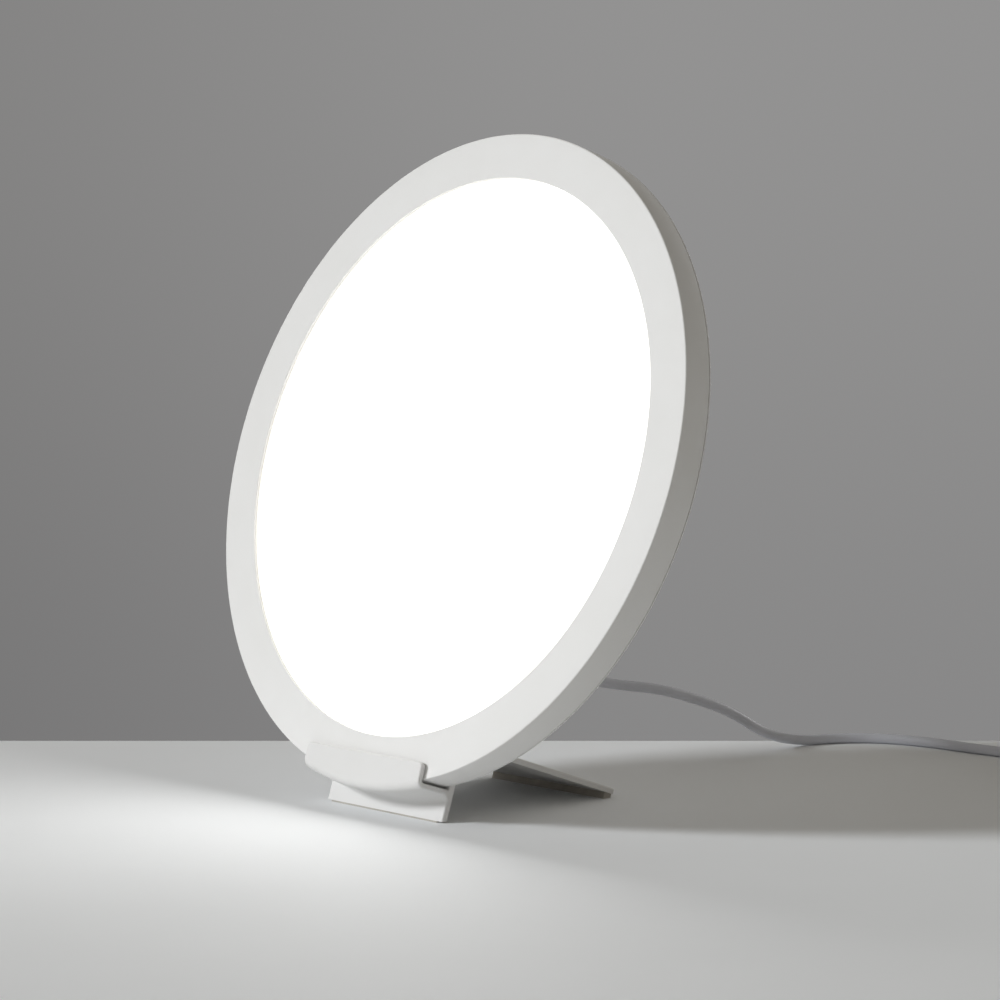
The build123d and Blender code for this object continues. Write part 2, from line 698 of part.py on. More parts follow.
def button(x, radius):
    """Cap with the flange that holds it behind the cover."""
    body = disc(radius + FLANGE_LAP, FLANGE_FRONT, FLANGE_BACK, x, CONTROL_Z)
    end = HOUSING_BACK + BUTTON_PROUD
    body += disc(radius, FLANGE_BACK, end, x, CONTROL_Z)
    return fillet(body.edges().group_by(Axis.Y)[-1], BUTTON_ROUND)


def plunger(x):
    return disc(PLUNGER_RADIUS, SWITCH_TOP - PLUNGER_SUNK, FLANGE_FRONT, x, CONTROL_Z)


# Wiring and gland


def bend_radii(points):
    """The largest arcs that the runs beside each point allow."""
    radii = []
    for before, here, after in zip(points, points[1:], points[2:]):
        first = Vector(here) - Vector(before)
        second = Vector(after) - Vector(here)
        half = math.radians(first.get_angle(second)) / 2
        radii.append(0.45 * min(first.length, second.length) / math.tan(half))
    return radii


def tube(points, radius, radii):
    path = FilletPolyline(*points, radius=radii)
    section = Plane(origin=path @ 0, z_dir=path % 0) * Circle(radius)
    return sweep(section, path=path)


def mains_leads():
    """Two leads from the gland to the terminal block."""
    level = DRIVER_BACK + MAINS_WIRE_LEVEL
    top = DRIVER_Z - DRIVER_HEIGHT / 2
    leads = []
    for side in (-1, 1):
        x = side * MAINS_WIRE_SPACING / 2
        points = [(x, GLAND_INNER_END, GLAND_Z), (x, level, GLAND_Z), (x, level, top)]
        leads.append(tube(points, MAINS_WIRE_RADIUS, [MAINS_WIRE_BEND]))
    return group(leads)


def led_leads():
    """Twin lead from the header, over the back plate and through it to the LED strip."""
    x, z = lead_exit()
    level = DRIVER_BACK + LED_WIRE_LEVEL
    leads = []
    for side in (-1, 1):
        height = z + side * LED_WIRE_SPACING / 2
        inner = -math.sqrt(STRIP_OUTER**2 - height**2)
        points = [(DRIVER_LEFT, level, height), (x, level, height), (x, GUIDE_MIDDLE, height)]
        points.append((inner, GUIDE_MIDDLE, height))
        leads.append(tube(points, LED_WIRE_RADIUS, [LED_WIRE_BEND, LED_WIRE_END_BEND]))
    return group(leads)


def control_ribbon():
    """Flat ribbon that rises from the driver board and meets the control board's front."""
    driver_x = DRIVER_PAST_MIDDLE - RIBBON_INSET
    control_x = CONTROL_LEFT + RIBBON_INSET
    bridge = CONTROL_FRONT - 2 * RIBBON_THICK
    body = block(RIBBON_THICK, RIBBON_WIDE, DRIVER_BACK, bridge, driver_x, CONTROL_Z)
    long = control_x - driver_x + RIBBON_THICK
    body += block(long, RIBBON_WIDE, bridge, bridge + RIBBON_THICK, (driver_x + control_x) / 2, CONTROL_Z)
    return body + block(RIBBON_THICK, RIBBON_WIDE, bridge, CONTROL_FRONT, control_x, CONTROL_Z)


def strain_relief():
    """Threaded neck, flange and tapered boot of the cable gland, moulded on the cord."""
    body = disc(GLAND_NECK, GLAND_INNER_END, HOUSING_BACK, 0, GLAND_Z)
    body += disc(BOOT_FLANGE_RADIUS, HOUSING_BACK, BOOT_START, 0, GLAND_Z)
    boot = cone(BOOT_BASE, BOOT_TIP, BOOT_START, BOOT_END, 0, GLAND_Z)
    pitch = BOOT_LONG / (BOOT_GROOVES + 1)
    for k in range(BOOT_GROOVES):
        middle = BOOT_START + (k + 1) * pitch
        radius = BOOT_BASE + (BOOT_TIP - BOOT_BASE) * (middle - BOOT_START) / BOOT_LONG
        half = BOOT_GROOVE_WIDE / 2
        band = ring(BOOT_BASE, radius - BOOT_GROOVE_DEEP, middle - half, middle + half)
        boot -= Pos(0, 0, GLAND_Z) * band
    return body + boot


def gland_nut():
    outline = RegularPolygon(GLAND_NUT_RADIUS, 6) - Circle(GLAND_NECK + GLAND_NECK_GAP)
    return slab(Pos(0, GLAND_Z) * outline, HOUSING_INNER - GLAND_NUT_THICK, HOUSING_INNER)


# Stand


def below_centre(width, top, bottom):
    """Upright band of the stand's width, between two heights."""
    return Pos(0, (top + bottom) / 2) * Rectangle(width, top - bottom)


def cradle():
    """Floor that follows the rim, and the straight-topped lip in front of it."""
    band = below_centre(STAND_WIDTH, -HEAD_RADIUS / 2, -HEAD_RADIUS - TALL / 4)
    floor = slab((Circle(FLOOR_RADIUS) - Circle(SEAT_RADIUS)) & band, LIP_FRONT, LEG_BACK)
    lip_band = below_centre(STAND_WIDTH, LIP_TOP - HEAD_RADIUS, -HEAD_RADIUS - TALL / 4)
    lip = slab(Circle(FLOOR_RADIUS) & lip_band, LIP_FRONT, LIP_BACK)
    return floor + lip


def across(width, profile, x=0.0):
    """Prism of one side profile, given as depths and heights, across a part of the stand."""
    points = [(x - width / 2, depth, z) for depth, z in profile]
    return extrude(make_face(Polyline(points, close=True)), width, dir=(1, 0, 0))


def under_arm(along, below=0.0):
    """Depth and height of a place on the arm's underside, from its end forwards, or below it."""
    depth = REAR_END - (PLATE + below) * DROP_SIN - along * DROP_COS
    return depth, REAR_TOP_Z - (PLATE + below) * DROP_COS + along * DROP_SIN


def leg_and_arm():
    """Front leg, drawn down past the table, and the rear arm: one plate, bent once."""
    past_table = -HEAD_RADIUS - TALL / 8
    outside = [(LEG_FRONT, past_table), (LEG_FRONT, APEX_Z), (REAR_END, REAR_TOP_Z)]
    inside = [under_arm(0), (LEG_BACK, ARM_CORNER_Z), (LEG_BACK, past_table)]
    return across(STAND_WIDTH, outside + inside)


def gusset(x):
    """Rib in the corner between the leg and the rear arm."""
    corner = (LEG_BACK, ARM_CORNER_Z)
    along_arm = (LEG_BACK + GUSSET_LEG * DROP_COS, ARM_CORNER_Z - GUSSET_LEG * DROP_SIN)
    down_leg = (LEG_BACK, ARM_CORNER_Z - GUSSET_LEG)
    return across(GUSSET_THICK, [corner, along_arm, down_leg], x)


def above(height):
    """Everything that the lamp can hold above one height over the table."""
    return Pos(0, 0, height + TALL / 2) * Box(TALL, TALL, TALL)


def stand():
    body = cradle() + leg_and_arm()
    body = fillet(edges_at(body, depth=LIP_FRONT, radius=FLOOR_RADIUS), LIP_CORNER)
    body = fillet(edges_at(body, depth=LIP_BACK, radius=SEAT_RADIUS), LIP_CORNER - PLATE)
    body = fillet(edges_at(body, depth=LEG_FRONT, radius=FLOOR_RADIUS), LEG_FILLET)
    body = fillet(edges_at(body, depth=LEG_FRONT, radius=SEAT_RADIUS), CRADLE_FILLET)
    body = fillet(edges_at(body, depth=LEG_FRONT, z=APEX_Z), APEX_ROUND)
    body = fillet(edges_at(body, depth=LEG_BACK, z=ARM_CORNER_Z), APEX_FILLET)
    body = fillet(edges_at(body, depth=REAR_END, z=REAR_TOP_Z), REAR_EDGE)
    lip_top = edges_at(body, z=LIP_TOP - HEAD_RADIUS)
    body = fillet([e for e in lip_top if e.length < STAND_WIDTH / 2], LIP_END_ROUND)
    lip_top = edges_at(body, z=LIP_TOP - HEAD_RADIUS)
    body = fillet([e for e in lip_top if e.length > STAND_WIDTH / 2], LIP_EDGE)
    for side in (-1, 1):
        body += gusset(side * GUSSET_X)
    return stand_up(body) & above(FRONT_FOOT_THICK)


def seat_pads():
    """Two soft pads on the cradle floor, which the rim rests on."""
    pads = []
    for side in (-1, 1):
        middle = side * (PAD_INNER_X + PAD_OUTER_X) / 2
        band = Pos(middle, -HEAD_RADIUS) * Rectangle(PAD_OUTER_X - PAD_INNER_X, TALL / 8)
        strip = (Circle(SEAT_RADIUS) - Circle(SEAT_RADIUS - PAD_THICK)) & band
        pads.append(slab(strip, PAD_EDGE, HEAD_DEPTH - PAD_EDGE))
    return stand_up(group(pads))


def front_foot():
    """Thin strip under the leg's edge."""
    leg_band = below_centre(STAND_WIDTH - 2 * FRONT_FOOT_INSET, -HEAD_RADIUS, -HEAD_RADIUS - TALL / 8)
    under_leg = stand_up(slab(leg_band, LEG_FRONT, LEG_BACK)) & above(0)
    return under_leg - above(FRONT_FOOT_THICK)


def rear_foot():
    """Small wedge under the arm's end, flat on the table."""
    past_table = TALL / 8
    profile = [under_arm(0), under_arm(REAR_FOOT_LONG)]
    profile += [under_arm(REAR_FOOT_LONG, past_table), under_arm(0, past_table)]
    return stand_up(across(STAND_WIDTH - 2 * REAR_FOOT_INSET, profile)) & above(0)


# Cord


def lead_points():
    """The boot's tip, a point straight behind it, and the hand-laid route."""
    tip = stand_up(Location((0, BOOT_END, GLAND_Z))).position
    first = stand_up(Location((0, BOOT_END + FIRST_RUN, GLAND_Z))).position
    return [tuple(tip), tuple(first)] + LEAD_ROUTE


def cord_tube(points, name):
    """Straight runs joined by tangent arcs, with a check of its volume against its length."""
    radii = bend_radii(points)
    body = tube(points, CORD_RADIUS, radii)
    length = FilletPolyline(*points, radius=radii).length
    plain = math.pi * CORD_RADIUS**2 * length
    print(name, "length", round(length, 1), "radii", [round(r) for r in radii])
    print(name, "volume over section times length", round(body.volume / plain, 4))
    return body


def cord_coil():
    """Outer shape of the wound turns, which lie a cord's width apart on the tie."""
    half_wide = COIL_COLUMNS * CORD_RADIUS
    high = 2 * COIL_LAYERS * CORD_RADIUS
    body = Cylinder(COIL_TURN_RADIUS + half_wide, high) - Cylinder(COIL_TURN_RADIUS - half_wide, high)
    body = fillet(body.edges().filter_by(GeomType.CIRCLE), COIL_EDGE)
    return Pos(*COIL_CENTRE, TIE_THICK + high / 2) * body


def cord_tie():
    """Flat strap round the turns."""
    wide = 2 * COIL_COLUMNS * CORD_RADIUS + 2 * TIE_GAP
    high = 2 * COIL_LAYERS * CORD_RADIUS + TIE_GAP
    hoop = Box(wide + 2 * TIE_THICK, TIE_WIDE, high + 2 * TIE_THICK) - Box(wide, TIE_WIDE, high)
    hoop = Pos(COIL_TURN_RADIUS, 0, high / 2 + TIE_THICK) * hoop
    return Pos(*COIL_CENTRE) * Rot(0, 0, TIE_ANGLE) * hoop


def plug_place():
    return Pos(TAIL_ROUTE[-1][0], TAIL_ROUTE[-1][1], PLUG_THICK / 2)


def plug_body():
    """Flat two-pin plug with a tapered neck, moulded on the cord."""
    shoulder = PLUG_NOSE_LONG + PLUG_SHOULDER_LONG
    sections = [
        (0, PLUG_COLLAR, PLUG_COLLAR),
        (PLUG_NOSE_LONG, PLUG_NOSE_WIDE, PLUG_NOSE_WIDE),
        (shoulder, PLUG_WIDE, PLUG_THICK),
        (PLUG_NOSE_LONG + PLUG_LONG, PLUG_WIDE, PLUG_THICK),
    ]
    faces = []
    for start, wide, thick in sections:
        face = Plane(origin=(0, start, 0), x_dir=(1, 0, 0), z_dir=(0, -1, 0))
        faces.append(face * RectangleRounded(wide, thick, PLUG_CORNER_SHARE * thick))
    body = loft(faces[0:2])
    for pair in (faces[1:3], faces[2:4]):
        body += loft(pair)
    return plug_place() * body


def pin_places():
    return [side * PIN_SPACING / 2 for side in (-1, 1)]


def plug_pins():
    """Two pins, thin inside their sleeves and full size at the tips."""
    start = PLUG_NOSE_LONG + PLUG_LONG
    sleeve_end = start + PIN_SLEEVE_LONG
    end = start + PIN_LONG
    pins = []
    for x in pin_places():
        pin = disc(PIN_CORE_RADIUS, start, sleeve_end, x) + disc(PIN_RADIUS, sleeve_end, end, x)
        pins.append(fillet(pin.edges().group_by(Axis.Y)[-1], PIN_RADIUS / 2))
    return plug_place() * group(pins)


def pin_sleeves():
    start = PLUG_NOSE_LONG + PLUG_LONG
    tube_ring = ring(PIN_RADIUS, PIN_CORE_RADIUS + SCREW_GAP, start, start + PIN_SLEEVE_LONG)
    return plug_place() * group(Pos(x, 0, 0) * tube_ring for x in pin_places())


def head_parts():
    """Upright head pieces by node name."""
    parts = {
        "front_bezel": front_bezel(),
        "diffuser": disc(GUIDE_RADIUS, FACE_WALL, GUIDE_FRONT),
        "light_guide": disc(GUIDE_RADIUS, GUIDE_FRONT, REFLECTOR_FRONT),
        "reflector_sheet": disc(GUIDE_RADIUS, REFLECTOR_FRONT, FOAM_FRONT),
        "foam_pad": disc(GUIDE_RADIUS, FOAM_FRONT, PLATE_FRONT),
        "led_ring": led_ring(),
        "led_strip": led_strip(),
        "led_packages": led_packages(),
        "back_plate": back_plate(),
        "back_cover": back_cover(),
        "insulation_sheet": insulation_sheet(),
        "driver_board": driver_board(),
        "control_board": control_board(),
        "board_standoffs": board_standoffs(),
        "board_screws": board_screws(),
        "transformer": transformer(),
        "bulk_capacitors": bulk_capacitors(),
        "film_capacitor": film_capacitor(),
        "input_choke": input_choke(),
        "fuse": fuse(),
        "power_chips": power_chips(),
        "terminal_block": terminal_block(),
        "led_connector": led_connector(),
        "control_chip": control_chip(),
        "mains_leads": mains_leads(),
        "led_leads": led_leads(),
        "control_ribbon": control_ribbon(),
        "strain_relief": strain_relief(),
        "gland_nut": gland_nut(),
    }
    plate_sizes = (PLATE_SCREW_RADIUS, PLATE_SCREW_LONG, PLATE_SCREW_HEAD, PLATE_SCREW_HEAD_HIGH)
    parts["back_plate_screws"] = group(screw(*plate_sizes, PLATE_BACK, x, z) for x, z in plate_bosses())
    parts["cover_screws"] = group(cover_screw(x, z) for x, z in cover_bosses())
    parts["switch_bodies"] = group(switch_body(x) for x, _ in BUTTONS.values())
    for name, (x, radius) in BUTTONS.items():
        parts[name + "_button"] = button(x, radius)
        parts[name + "_plunger"] = plunger(x)
    return parts


def all_parts():
    parts = {name: stand_up(shape) for name, shape in head_parts().items()}
    parts["stand"] = stand()
    parts["seat_pads"] = seat_pads()
    parts["front_foot"] = front_foot()
    parts["rear_foot"] = rear_foot()
    parts["cord"] = cord_tube(lead_points(), "lead")
    parts["cord_tail"] = cord_tube(TAIL_ROUTE, "tail")
    parts["cord_coil"] = cord_coil()
    parts["cord_tie"] = cord_tie()
    parts["plug_body"] = plug_body()
    parts["plug_pins"] = plug_pins()
    parts["pin_sleeves"] = pin_sleeves()
    return parts


os.makedirs("parts", exist_ok=True)
for node, shape in all_parts().items():
    export_step(shape, "parts/" + node + ".step")
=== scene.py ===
import math

import bmesh
import bpy
from mathutils import Matrix, Vector


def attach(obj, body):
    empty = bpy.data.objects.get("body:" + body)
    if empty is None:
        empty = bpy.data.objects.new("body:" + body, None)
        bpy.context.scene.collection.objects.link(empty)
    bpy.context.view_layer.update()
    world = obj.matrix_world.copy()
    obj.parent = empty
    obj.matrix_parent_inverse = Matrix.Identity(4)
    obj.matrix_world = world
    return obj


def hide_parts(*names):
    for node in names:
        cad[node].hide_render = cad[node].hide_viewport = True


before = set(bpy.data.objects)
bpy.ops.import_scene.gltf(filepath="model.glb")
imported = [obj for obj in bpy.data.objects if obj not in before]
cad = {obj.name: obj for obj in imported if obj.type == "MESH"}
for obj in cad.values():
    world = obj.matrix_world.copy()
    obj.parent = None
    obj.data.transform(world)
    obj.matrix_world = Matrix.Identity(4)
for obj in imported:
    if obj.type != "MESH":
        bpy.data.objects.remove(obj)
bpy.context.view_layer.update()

collection = bpy.context.scene.collection

# ---------------------------------------------------------------------------------------
# Front bezel: one white ABS moulding that the rest of the head is screwed to. A flat ring, a
# thin rim and two circles of hollow screw bosses, with the satin grain of an eroded tool.

# The head's pieces are drawn upright: x across, y the depth behind the ring's face, z the
# height over the disc's centre. This placing leans them back in the cradle.
head_lean = math.radians(17.7)
head_centre = (0, -0.0122254, 0.1897791)
upright = Matrix.Translation(head_centre) @ Matrix.Rotation(-head_lean, 4, "X")
head_radius, lit_radius, face_wall, rim_wall, rim_end = 0.180, 0.155, 0.002, 0.002, 0.0171
boss_count, cover_circle, plate_circle, boss_sunk = 8, 0.17525, 0.16430, 0.0001
ring_sides, boss_sides = 256, 24


def add_node(tree, kind, inputs=(), **settings):
    """Add a node, set its options, then link or set its inputs."""
    node = tree.nodes.new(kind)
    for key, value in settings.items():
        setattr(node, key, value)
    for key, value in dict(inputs).items():
        if isinstance(value, bpy.types.NodeSocket):
            tree.links.new(value, node.inputs[key])
        else:
            node.inputs[key].default_value = value
    return node


def made(tree, kind, inputs=(), **settings):
    """Add a node and take its first output."""
    return add_node(tree, kind, inputs, **settings).outputs[0]


def calc(tree, operation, *values):
    """One step of arithmetic between sockets and numbers."""
    return made(tree, "ShaderNodeMath", enumerate(values), operation=operation)


def vector(tree, **parts):
    """Vector from its x, y and z. One that isn't given is 0."""
    return made(tree, "ShaderNodeCombineXYZ", {"xyz".index(axis): value for axis, value in parts.items()})


def surface_group():
    """Grain shared by all finishes: a faint change of tone, an uneven gloss and a fine bump."""
    group = bpy.data.node_groups.new("moulded_grain", "ShaderNodeTree")
    sockets = (
        ("Light Tone", "Color", (0.8, 0.8, 0.8, 1)),
        ("Dark Tone", "Color", (0.7, 0.7, 0.7, 1)),
        ("Tone Scale", "Float", 30.0),
        ("Sharpest Gloss", "Float", 0.4),
        ("Dullest Gloss", "Float", 0.5),
        ("Grain Scale", "Float", 2500.0),
        ("Grain Depth", "Float", 0.00001),
        ("Stretch", "Vector", (1, 1, 1)),
    )
    for label, kind, value in sockets:
        socket = group.interface.new_socket(name=label, in_out="INPUT", socket_type="NodeSocket" + kind)
        socket.default_value = value
    for label, kind in (("Color", "Color"), ("Roughness", "Float"), ("Normal", "Vector")):
        group.interface.new_socket(name=label, in_out="OUTPUT", socket_type="NodeSocket" + kind)
    given = group.nodes.new("NodeGroupInput").outputs
    place = add_node(group, "ShaderNodeTexCoord").outputs["Object"]
    place = made(group, "ShaderNodeMapping", {"Vector": place, "Scale": given["Stretch"]})
    cloud_inputs = {"Vector": place, "Scale": given["Tone Scale"], "Detail": 3.0}
    cloud = made(group, "ShaderNodeTexNoise", cloud_inputs)
    grain_inputs = {"Vector": place, "Scale": given["Grain Scale"], "Detail": 2.0}
    grain = made(group, "ShaderNodeTexNoise", grain_inputs)
    share = made(group, "ShaderNodeMapRange", {"Value": cloud, "From Min": 0.3, "From Max": 0.7})
    tone = group.nodes.new("ShaderNodeMix")
    tone.data_type = "RGBA"
    group.links.new(share, tone.inputs[0])
    group.links.new(given["Dark Tone"], tone.inputs[6])
    group.links.new(given["Light Tone"], tone.inputs[7])
    both = calc(group, "MULTIPLY_ADD", grain, 0.6, calc(group, "MULTIPLY", cloud, 0.4))
    spread = {"Value": both, "From Min": 0.35, "From Max": 0.65}
    spread["To Min"] = given["Sharpest Gloss"]
    spread["To Max"] = given["Dullest Gloss"]
    gloss = made(group, "ShaderNodeMapRange", spread)
    bump = made(group, "ShaderNodeBump", {"Height": grain, "Distance": given["Grain Depth"]})
    end = group.nodes.new("NodeGroupOutput")
    for label, value in (("Color", tone.outputs[2]), ("Roughness", gloss), ("Normal", bump)):
        group.links.new(value, end.inputs[label])
    return group


moulded_grain = surface_group()


def finish(
    name, light, dark, gloss, tone_scale=30.0, grain=(2500.0, 0.00001), metal=0.0, stretch=(1, 1, 1),
    shine=0.5,
):
    """A material with the shared grain under its own colours, gloss and scale."""
    material = bpy.data.materials.new(name)
    material.use_nodes = True
    tree = material.node_tree
    shader = tree.nodes["Principled BSDF"]
    values = {"Light Tone": (*light, 1), "Dark Tone": (*dark, 1), "Tone Scale": tone_scale}
    values.update({"Sharpest Gloss": gloss[0], "Dullest Gloss": gloss[1], "Stretch": stretch})
    values.update({"Grain Scale": grain[0], "Grain Depth": grain[1]})
    surface = add_node(tree, "ShaderNodeGroup", values, node_tree=moulded_grain)
    for output, socket in (("Color", "Base Color"), ("Roughness", "Roughness"), ("Normal", "Normal")):
        tree.links.new(surface.outputs[output], shader.inputs[socket])
    shader.inputs["Metallic"].default_value = metal
    shader.inputs["Specular IOR Level"].default_value = shine
    return material


def add_sockets(tree, inputs):
    """Named inputs and one geometry output: returns the input node's sockets and the end."""
    tree.interface.new_socket(name="Geometry", in_out="OUTPUT", socket_type="NodeSocketGeometry")
    for label, kind in inputs:
        tree.interface.new_socket(name=label, in_out="INPUT", socket_type="NodeSocket" + kind)
    return tree.nodes.new("NodeGroupInput").outputs, tree.nodes.new("NodeGroupOutput")


def end_tree(tree, end, shape, material):
    """Realize what was placed and give it its material."""
    real = made(tree, "GeometryNodeRealizeInstances", {"Geometry": shape})
    dressed = made(tree, "GeometryNodeSetMaterial", {"Geometry": real, "Material": material})
    tree.links.new(dressed, end.inputs[0])


def turned_section(tree, corners, path_radius, around, steps=4):
    """Turn a closed outline round the depth axis. A corner is a radius, a depth and a rounding."""
    line = made(tree, "GeometryNodeMeshLine", {"Count": len(corners)})
    index = tree.nodes.new("GeometryNodeInputIndex").outputs[0]
    place = add_node(tree, "GeometryNodeIndexSwitch", data_type="VECTOR")
    size = add_node(tree, "GeometryNodeIndexSwitch", data_type="FLOAT")
    for switch in (place, size):
        for _ in range(len(corners) - 2):
            switch.index_switch_items.new()
        tree.links.new(index, switch.inputs[0])
    for k, (radius, depth, rounding) in enumerate(corners):
        out, down = calc(tree, "SUBTRACT", radius, path_radius), calc(tree, "MULTIPLY", depth, -1.0)
        tree.links.new(vector(tree, x=out, y=down), place.inputs[k + 1])
        if isinstance(rounding, bpy.types.NodeSocket):
            tree.links.new(rounding, size.inputs[k + 1])
        else:
            size.inputs[k + 1].default_value = rounding
    outline = made(tree, "GeometryNodeSetPosition", {"Geometry": line, "Position": place.outputs[0]})
    outline = made(tree, "GeometryNodeMeshToCurve", {"Mesh": outline})
    outline = made(tree, "GeometryNodeSetSplineCyclic", {"Geometry": outline, "Cyclic": True})
    rounds = {"Curve": outline, "Radius": size.outputs[0], "Limit Radius": True, "Count": steps}
    outline = made(tree, "GeometryNodeFilletCurve", rounds, mode="POLY")
    circle = made(tree, "GeometryNodeCurvePrimitiveCircle", {"Resolution": around, "Radius": path_radius})
    return made(tree, "GeometryNodeCurveToMesh", {"Curve": circle, "Profile Curve": outline})


def depth_along_y(tree, shape):
    """Turn a shape whose depth runs along z so that it runs along y."""
    return made(tree, "GeometryNodeTransform", {"Geometry": shape, "Rotation": (-math.pi / 2, 0, 0)})


def grown(name, tree, values):
    """Evaluate a tree with its sizes set and keep the result as a plain mesh."""
    piece = bpy.data.objects.new(name, bpy.data.meshes.new(name))
    collection.objects.link(piece)
    modifier = piece.modifiers.new("form", "NODES")
    modifier.node_group = tree
    for item in tree.interface.items_tree:
        if item.in_out == "INPUT":
            modifier[item.identifier] = values[item.name]
    graph = bpy.context.evaluated_depsgraph_get()
    mesh = bpy.data.meshes.new_from_object(piece.evaluated_get(graph))
    piece.modifiers.remove(modifier)
    piece.data = mesh
    return piece


def closed_up(piece, place, crease=35):
    """Merge the seams, face every wall outwards, set the piece in its place and smooth it."""
    mesh = piece.data
    shape = bmesh.new()
    shape.from_mesh(mesh)
    bmesh.ops.remove_doubles(shape, verts=shape.verts, dist=1e-7)
    bmesh.ops.recalc_face_normals(shape, faces=shape.faces)
    shape.to_mesh(mesh)
    shape.free()
    mesh.transform(place)
    mesh.shade_smooth()
    mesh.set_sharp_from_angle(angle=math.radians(crease))
    return piece


def stands_for(piece, slot, body, *nodes):
    """Hang the piece on its body and hide the nodes that it replaces. Its finish slot is not used."""
    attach(piece, body)
    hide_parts(*nodes)


satin = {"gloss": (0.50, 0.62), "tone_scale": 22, "grain": (2200, 0.00002), "shine": 0.4}
abs_white = finish("white_moulding", (0.825, 0.82, 0.81), (0.80, 0.795, 0.78), **satin)

bezel_tree = bpy.data.node_groups.new("bezel_form", "GeometryNodeTree")
bezel_inputs = [(label, "Float") for label in (
    "Head Radius", "Lit Radius", "Face Wall", "Rim Wall", "Rim End",
    "Edge Round", "Lit Edge Round", "Inner Round", "Edge Break",
    "Cover Boss Circle", "Cover Boss Radius", "Cover Boss Hole", "Cover Boss End",
    "Plate Boss Circle", "Plate Boss Radius", "Plate Boss Hole", "Plate Boss End",
)] + [("Boss Count", "Int"), ("Moulding", "Material")]
given, end = add_sockets(bezel_tree, bezel_inputs)
rim_inner = calc(bezel_tree, "SUBTRACT", given["Head Radius"], given["Rim Wall"])
shell_corners = [
    (given["Lit Radius"], 0.0, given["Lit Edge Round"]),
    (given["Head Radius"], 0.0, given["Edge Round"]),
    (given["Head Radius"], given["Rim End"], given["Edge Break"]),
    (rim_inner, given["Rim End"], given["Edge Break"]),
    (rim_inner, given["Face Wall"], given["Inner Round"]),
    (given["Lit Radius"], given["Face Wall"], given["Edge Break"]),
]
shapes = [turned_section(bezel_tree, shell_corners, given["Head Radius"], ring_sides)]
for kind, phase in (("Cover Boss", 0.5), ("Plate Boss", 0.0)):
    outer, hole, boss_end = (given[kind + word] for word in (" Radius", " Hole", " End"))
    start = calc(bezel_tree, "SUBTRACT", given["Face Wall"], boss_sunk)
    walls = [(hole, start, 0.0), (outer, start, 0.0)]
    walls += [(outer, boss_end, given["Edge Break"]), (hole, boss_end, given["Edge Break"])]
    boss = turned_section(bezel_tree, walls, outer, boss_sides, 2)
    spots = {"Vertices": given["Boss Count"], "Radius": given[kind + " Circle"]}
    circle = made(bezel_tree, "GeometryNodeMeshCircle", spots)
    turn = vector(bezel_tree, z=calc(bezel_tree, "DIVIDE", 2 * math.pi * phase, given["Boss Count"]))
    circle = made(bezel_tree, "GeometryNodeTransform", {"Geometry": circle, "Rotation": turn})
    shapes.append(made(bezel_tree, "GeometryNodeInstanceOnPoints", {"Points": circle, "Instance": boss}))
together = bezel_tree.nodes.new("GeometryNodeJoinGeometry")
for shape in shapes:
    bezel_tree.links.new(shape, together.inputs[0])
end_tree(bezel_tree, end, depth_along_y(bezel_tree, together.outputs[0]), given["Moulding"])
bezel = grown("bezel_shell", bezel_tree, {
    "Head Radius": head_radius, "Lit Radius": lit_radius, "Face Wall": face_wall, "Rim Wall": rim_wall,
    "Rim End": rim_end, "Edge Round": 0.0008, "Lit Edge Round": 0.0004, "Inner Round": 0.0006,
    "Edge Break": 0.00012, "Cover Boss Circle": cover_circle, "Cover Boss Radius": 0.00325,
    "Cover Boss Hole": 0.00145, "Cover Boss End": 0.0165, "Plate Boss Circle": plate_circle,
    "Plate Boss Radius": 0.0025, "Plate Boss Hole": 0.00125, "Plate Boss End": 0.0081,
    "Boss Count": boss_count, "Moulding": abs_white,
})
closed_up(bezel, upright)
stands_for(bezel, "white_moulding", "head", "front_bezel")

# ---------------------------------------------------------------------------------------
# Diffuser: a 2 mm opal acrylic sheet that lies on the ring's inner lap. The guide behind it
# lights it evenly. In the last centimetre beside the ring the light is weaker and a little warmer.


def upright_place(tree):
    """The object's own coordinates turned back to the upright head: x, depth and height."""
    place = add_node(tree, "ShaderNodeTexCoord").outputs["Object"]
    turn = {"Vector": place, "Location": head_centre, "Rotation": (-head_lean, 0, 0)}
    turned = made(tree, "ShaderNodeMapping", turn, vector_type="TEXTURE")
    return add_node(tree, "ShaderNodeSeparateXYZ", {0: turned}).outputs


def mixed(tree, share, first, second):
    """Colour between two, by a share."""
    mix = tree.nodes.new("ShaderNodeMix")
    mix.data_type = "RGBA"
    tree.links.new(share, mix.inputs[0])
    for socket, value in ((mix.inputs[6], first), (mix.inputs[7], second)):
        if isinstance(value, bpy.types.NodeSocket):
            tree.links.new(value, socket)
        else:
            socket.default_value = (*value, 1)
    return mix.outputs[2]


def from_centre(tree):
    """Distance from the disc's axis."""
    x, _, z = upright_place(tree)
    return calc(tree, "SQRT", calc(tree, "MULTIPLY_ADD", x, x, calc(tree, "MULTIPLY", z, z)))


def ramp(tree, value, start, end):
    """Share that grows smoothly from 0 to 1 between two values."""
    span = {"Value": value, "From Min": start, "From Max": end}
    return made(tree, "ShaderNodeMapRange", span, interpolation_type="SMOOTHSTEP")


def dress(node, material):
    """Give a CAD node its finish."""
    cad[node].data.materials.clear()
    cad[node].data.materials.append(material)


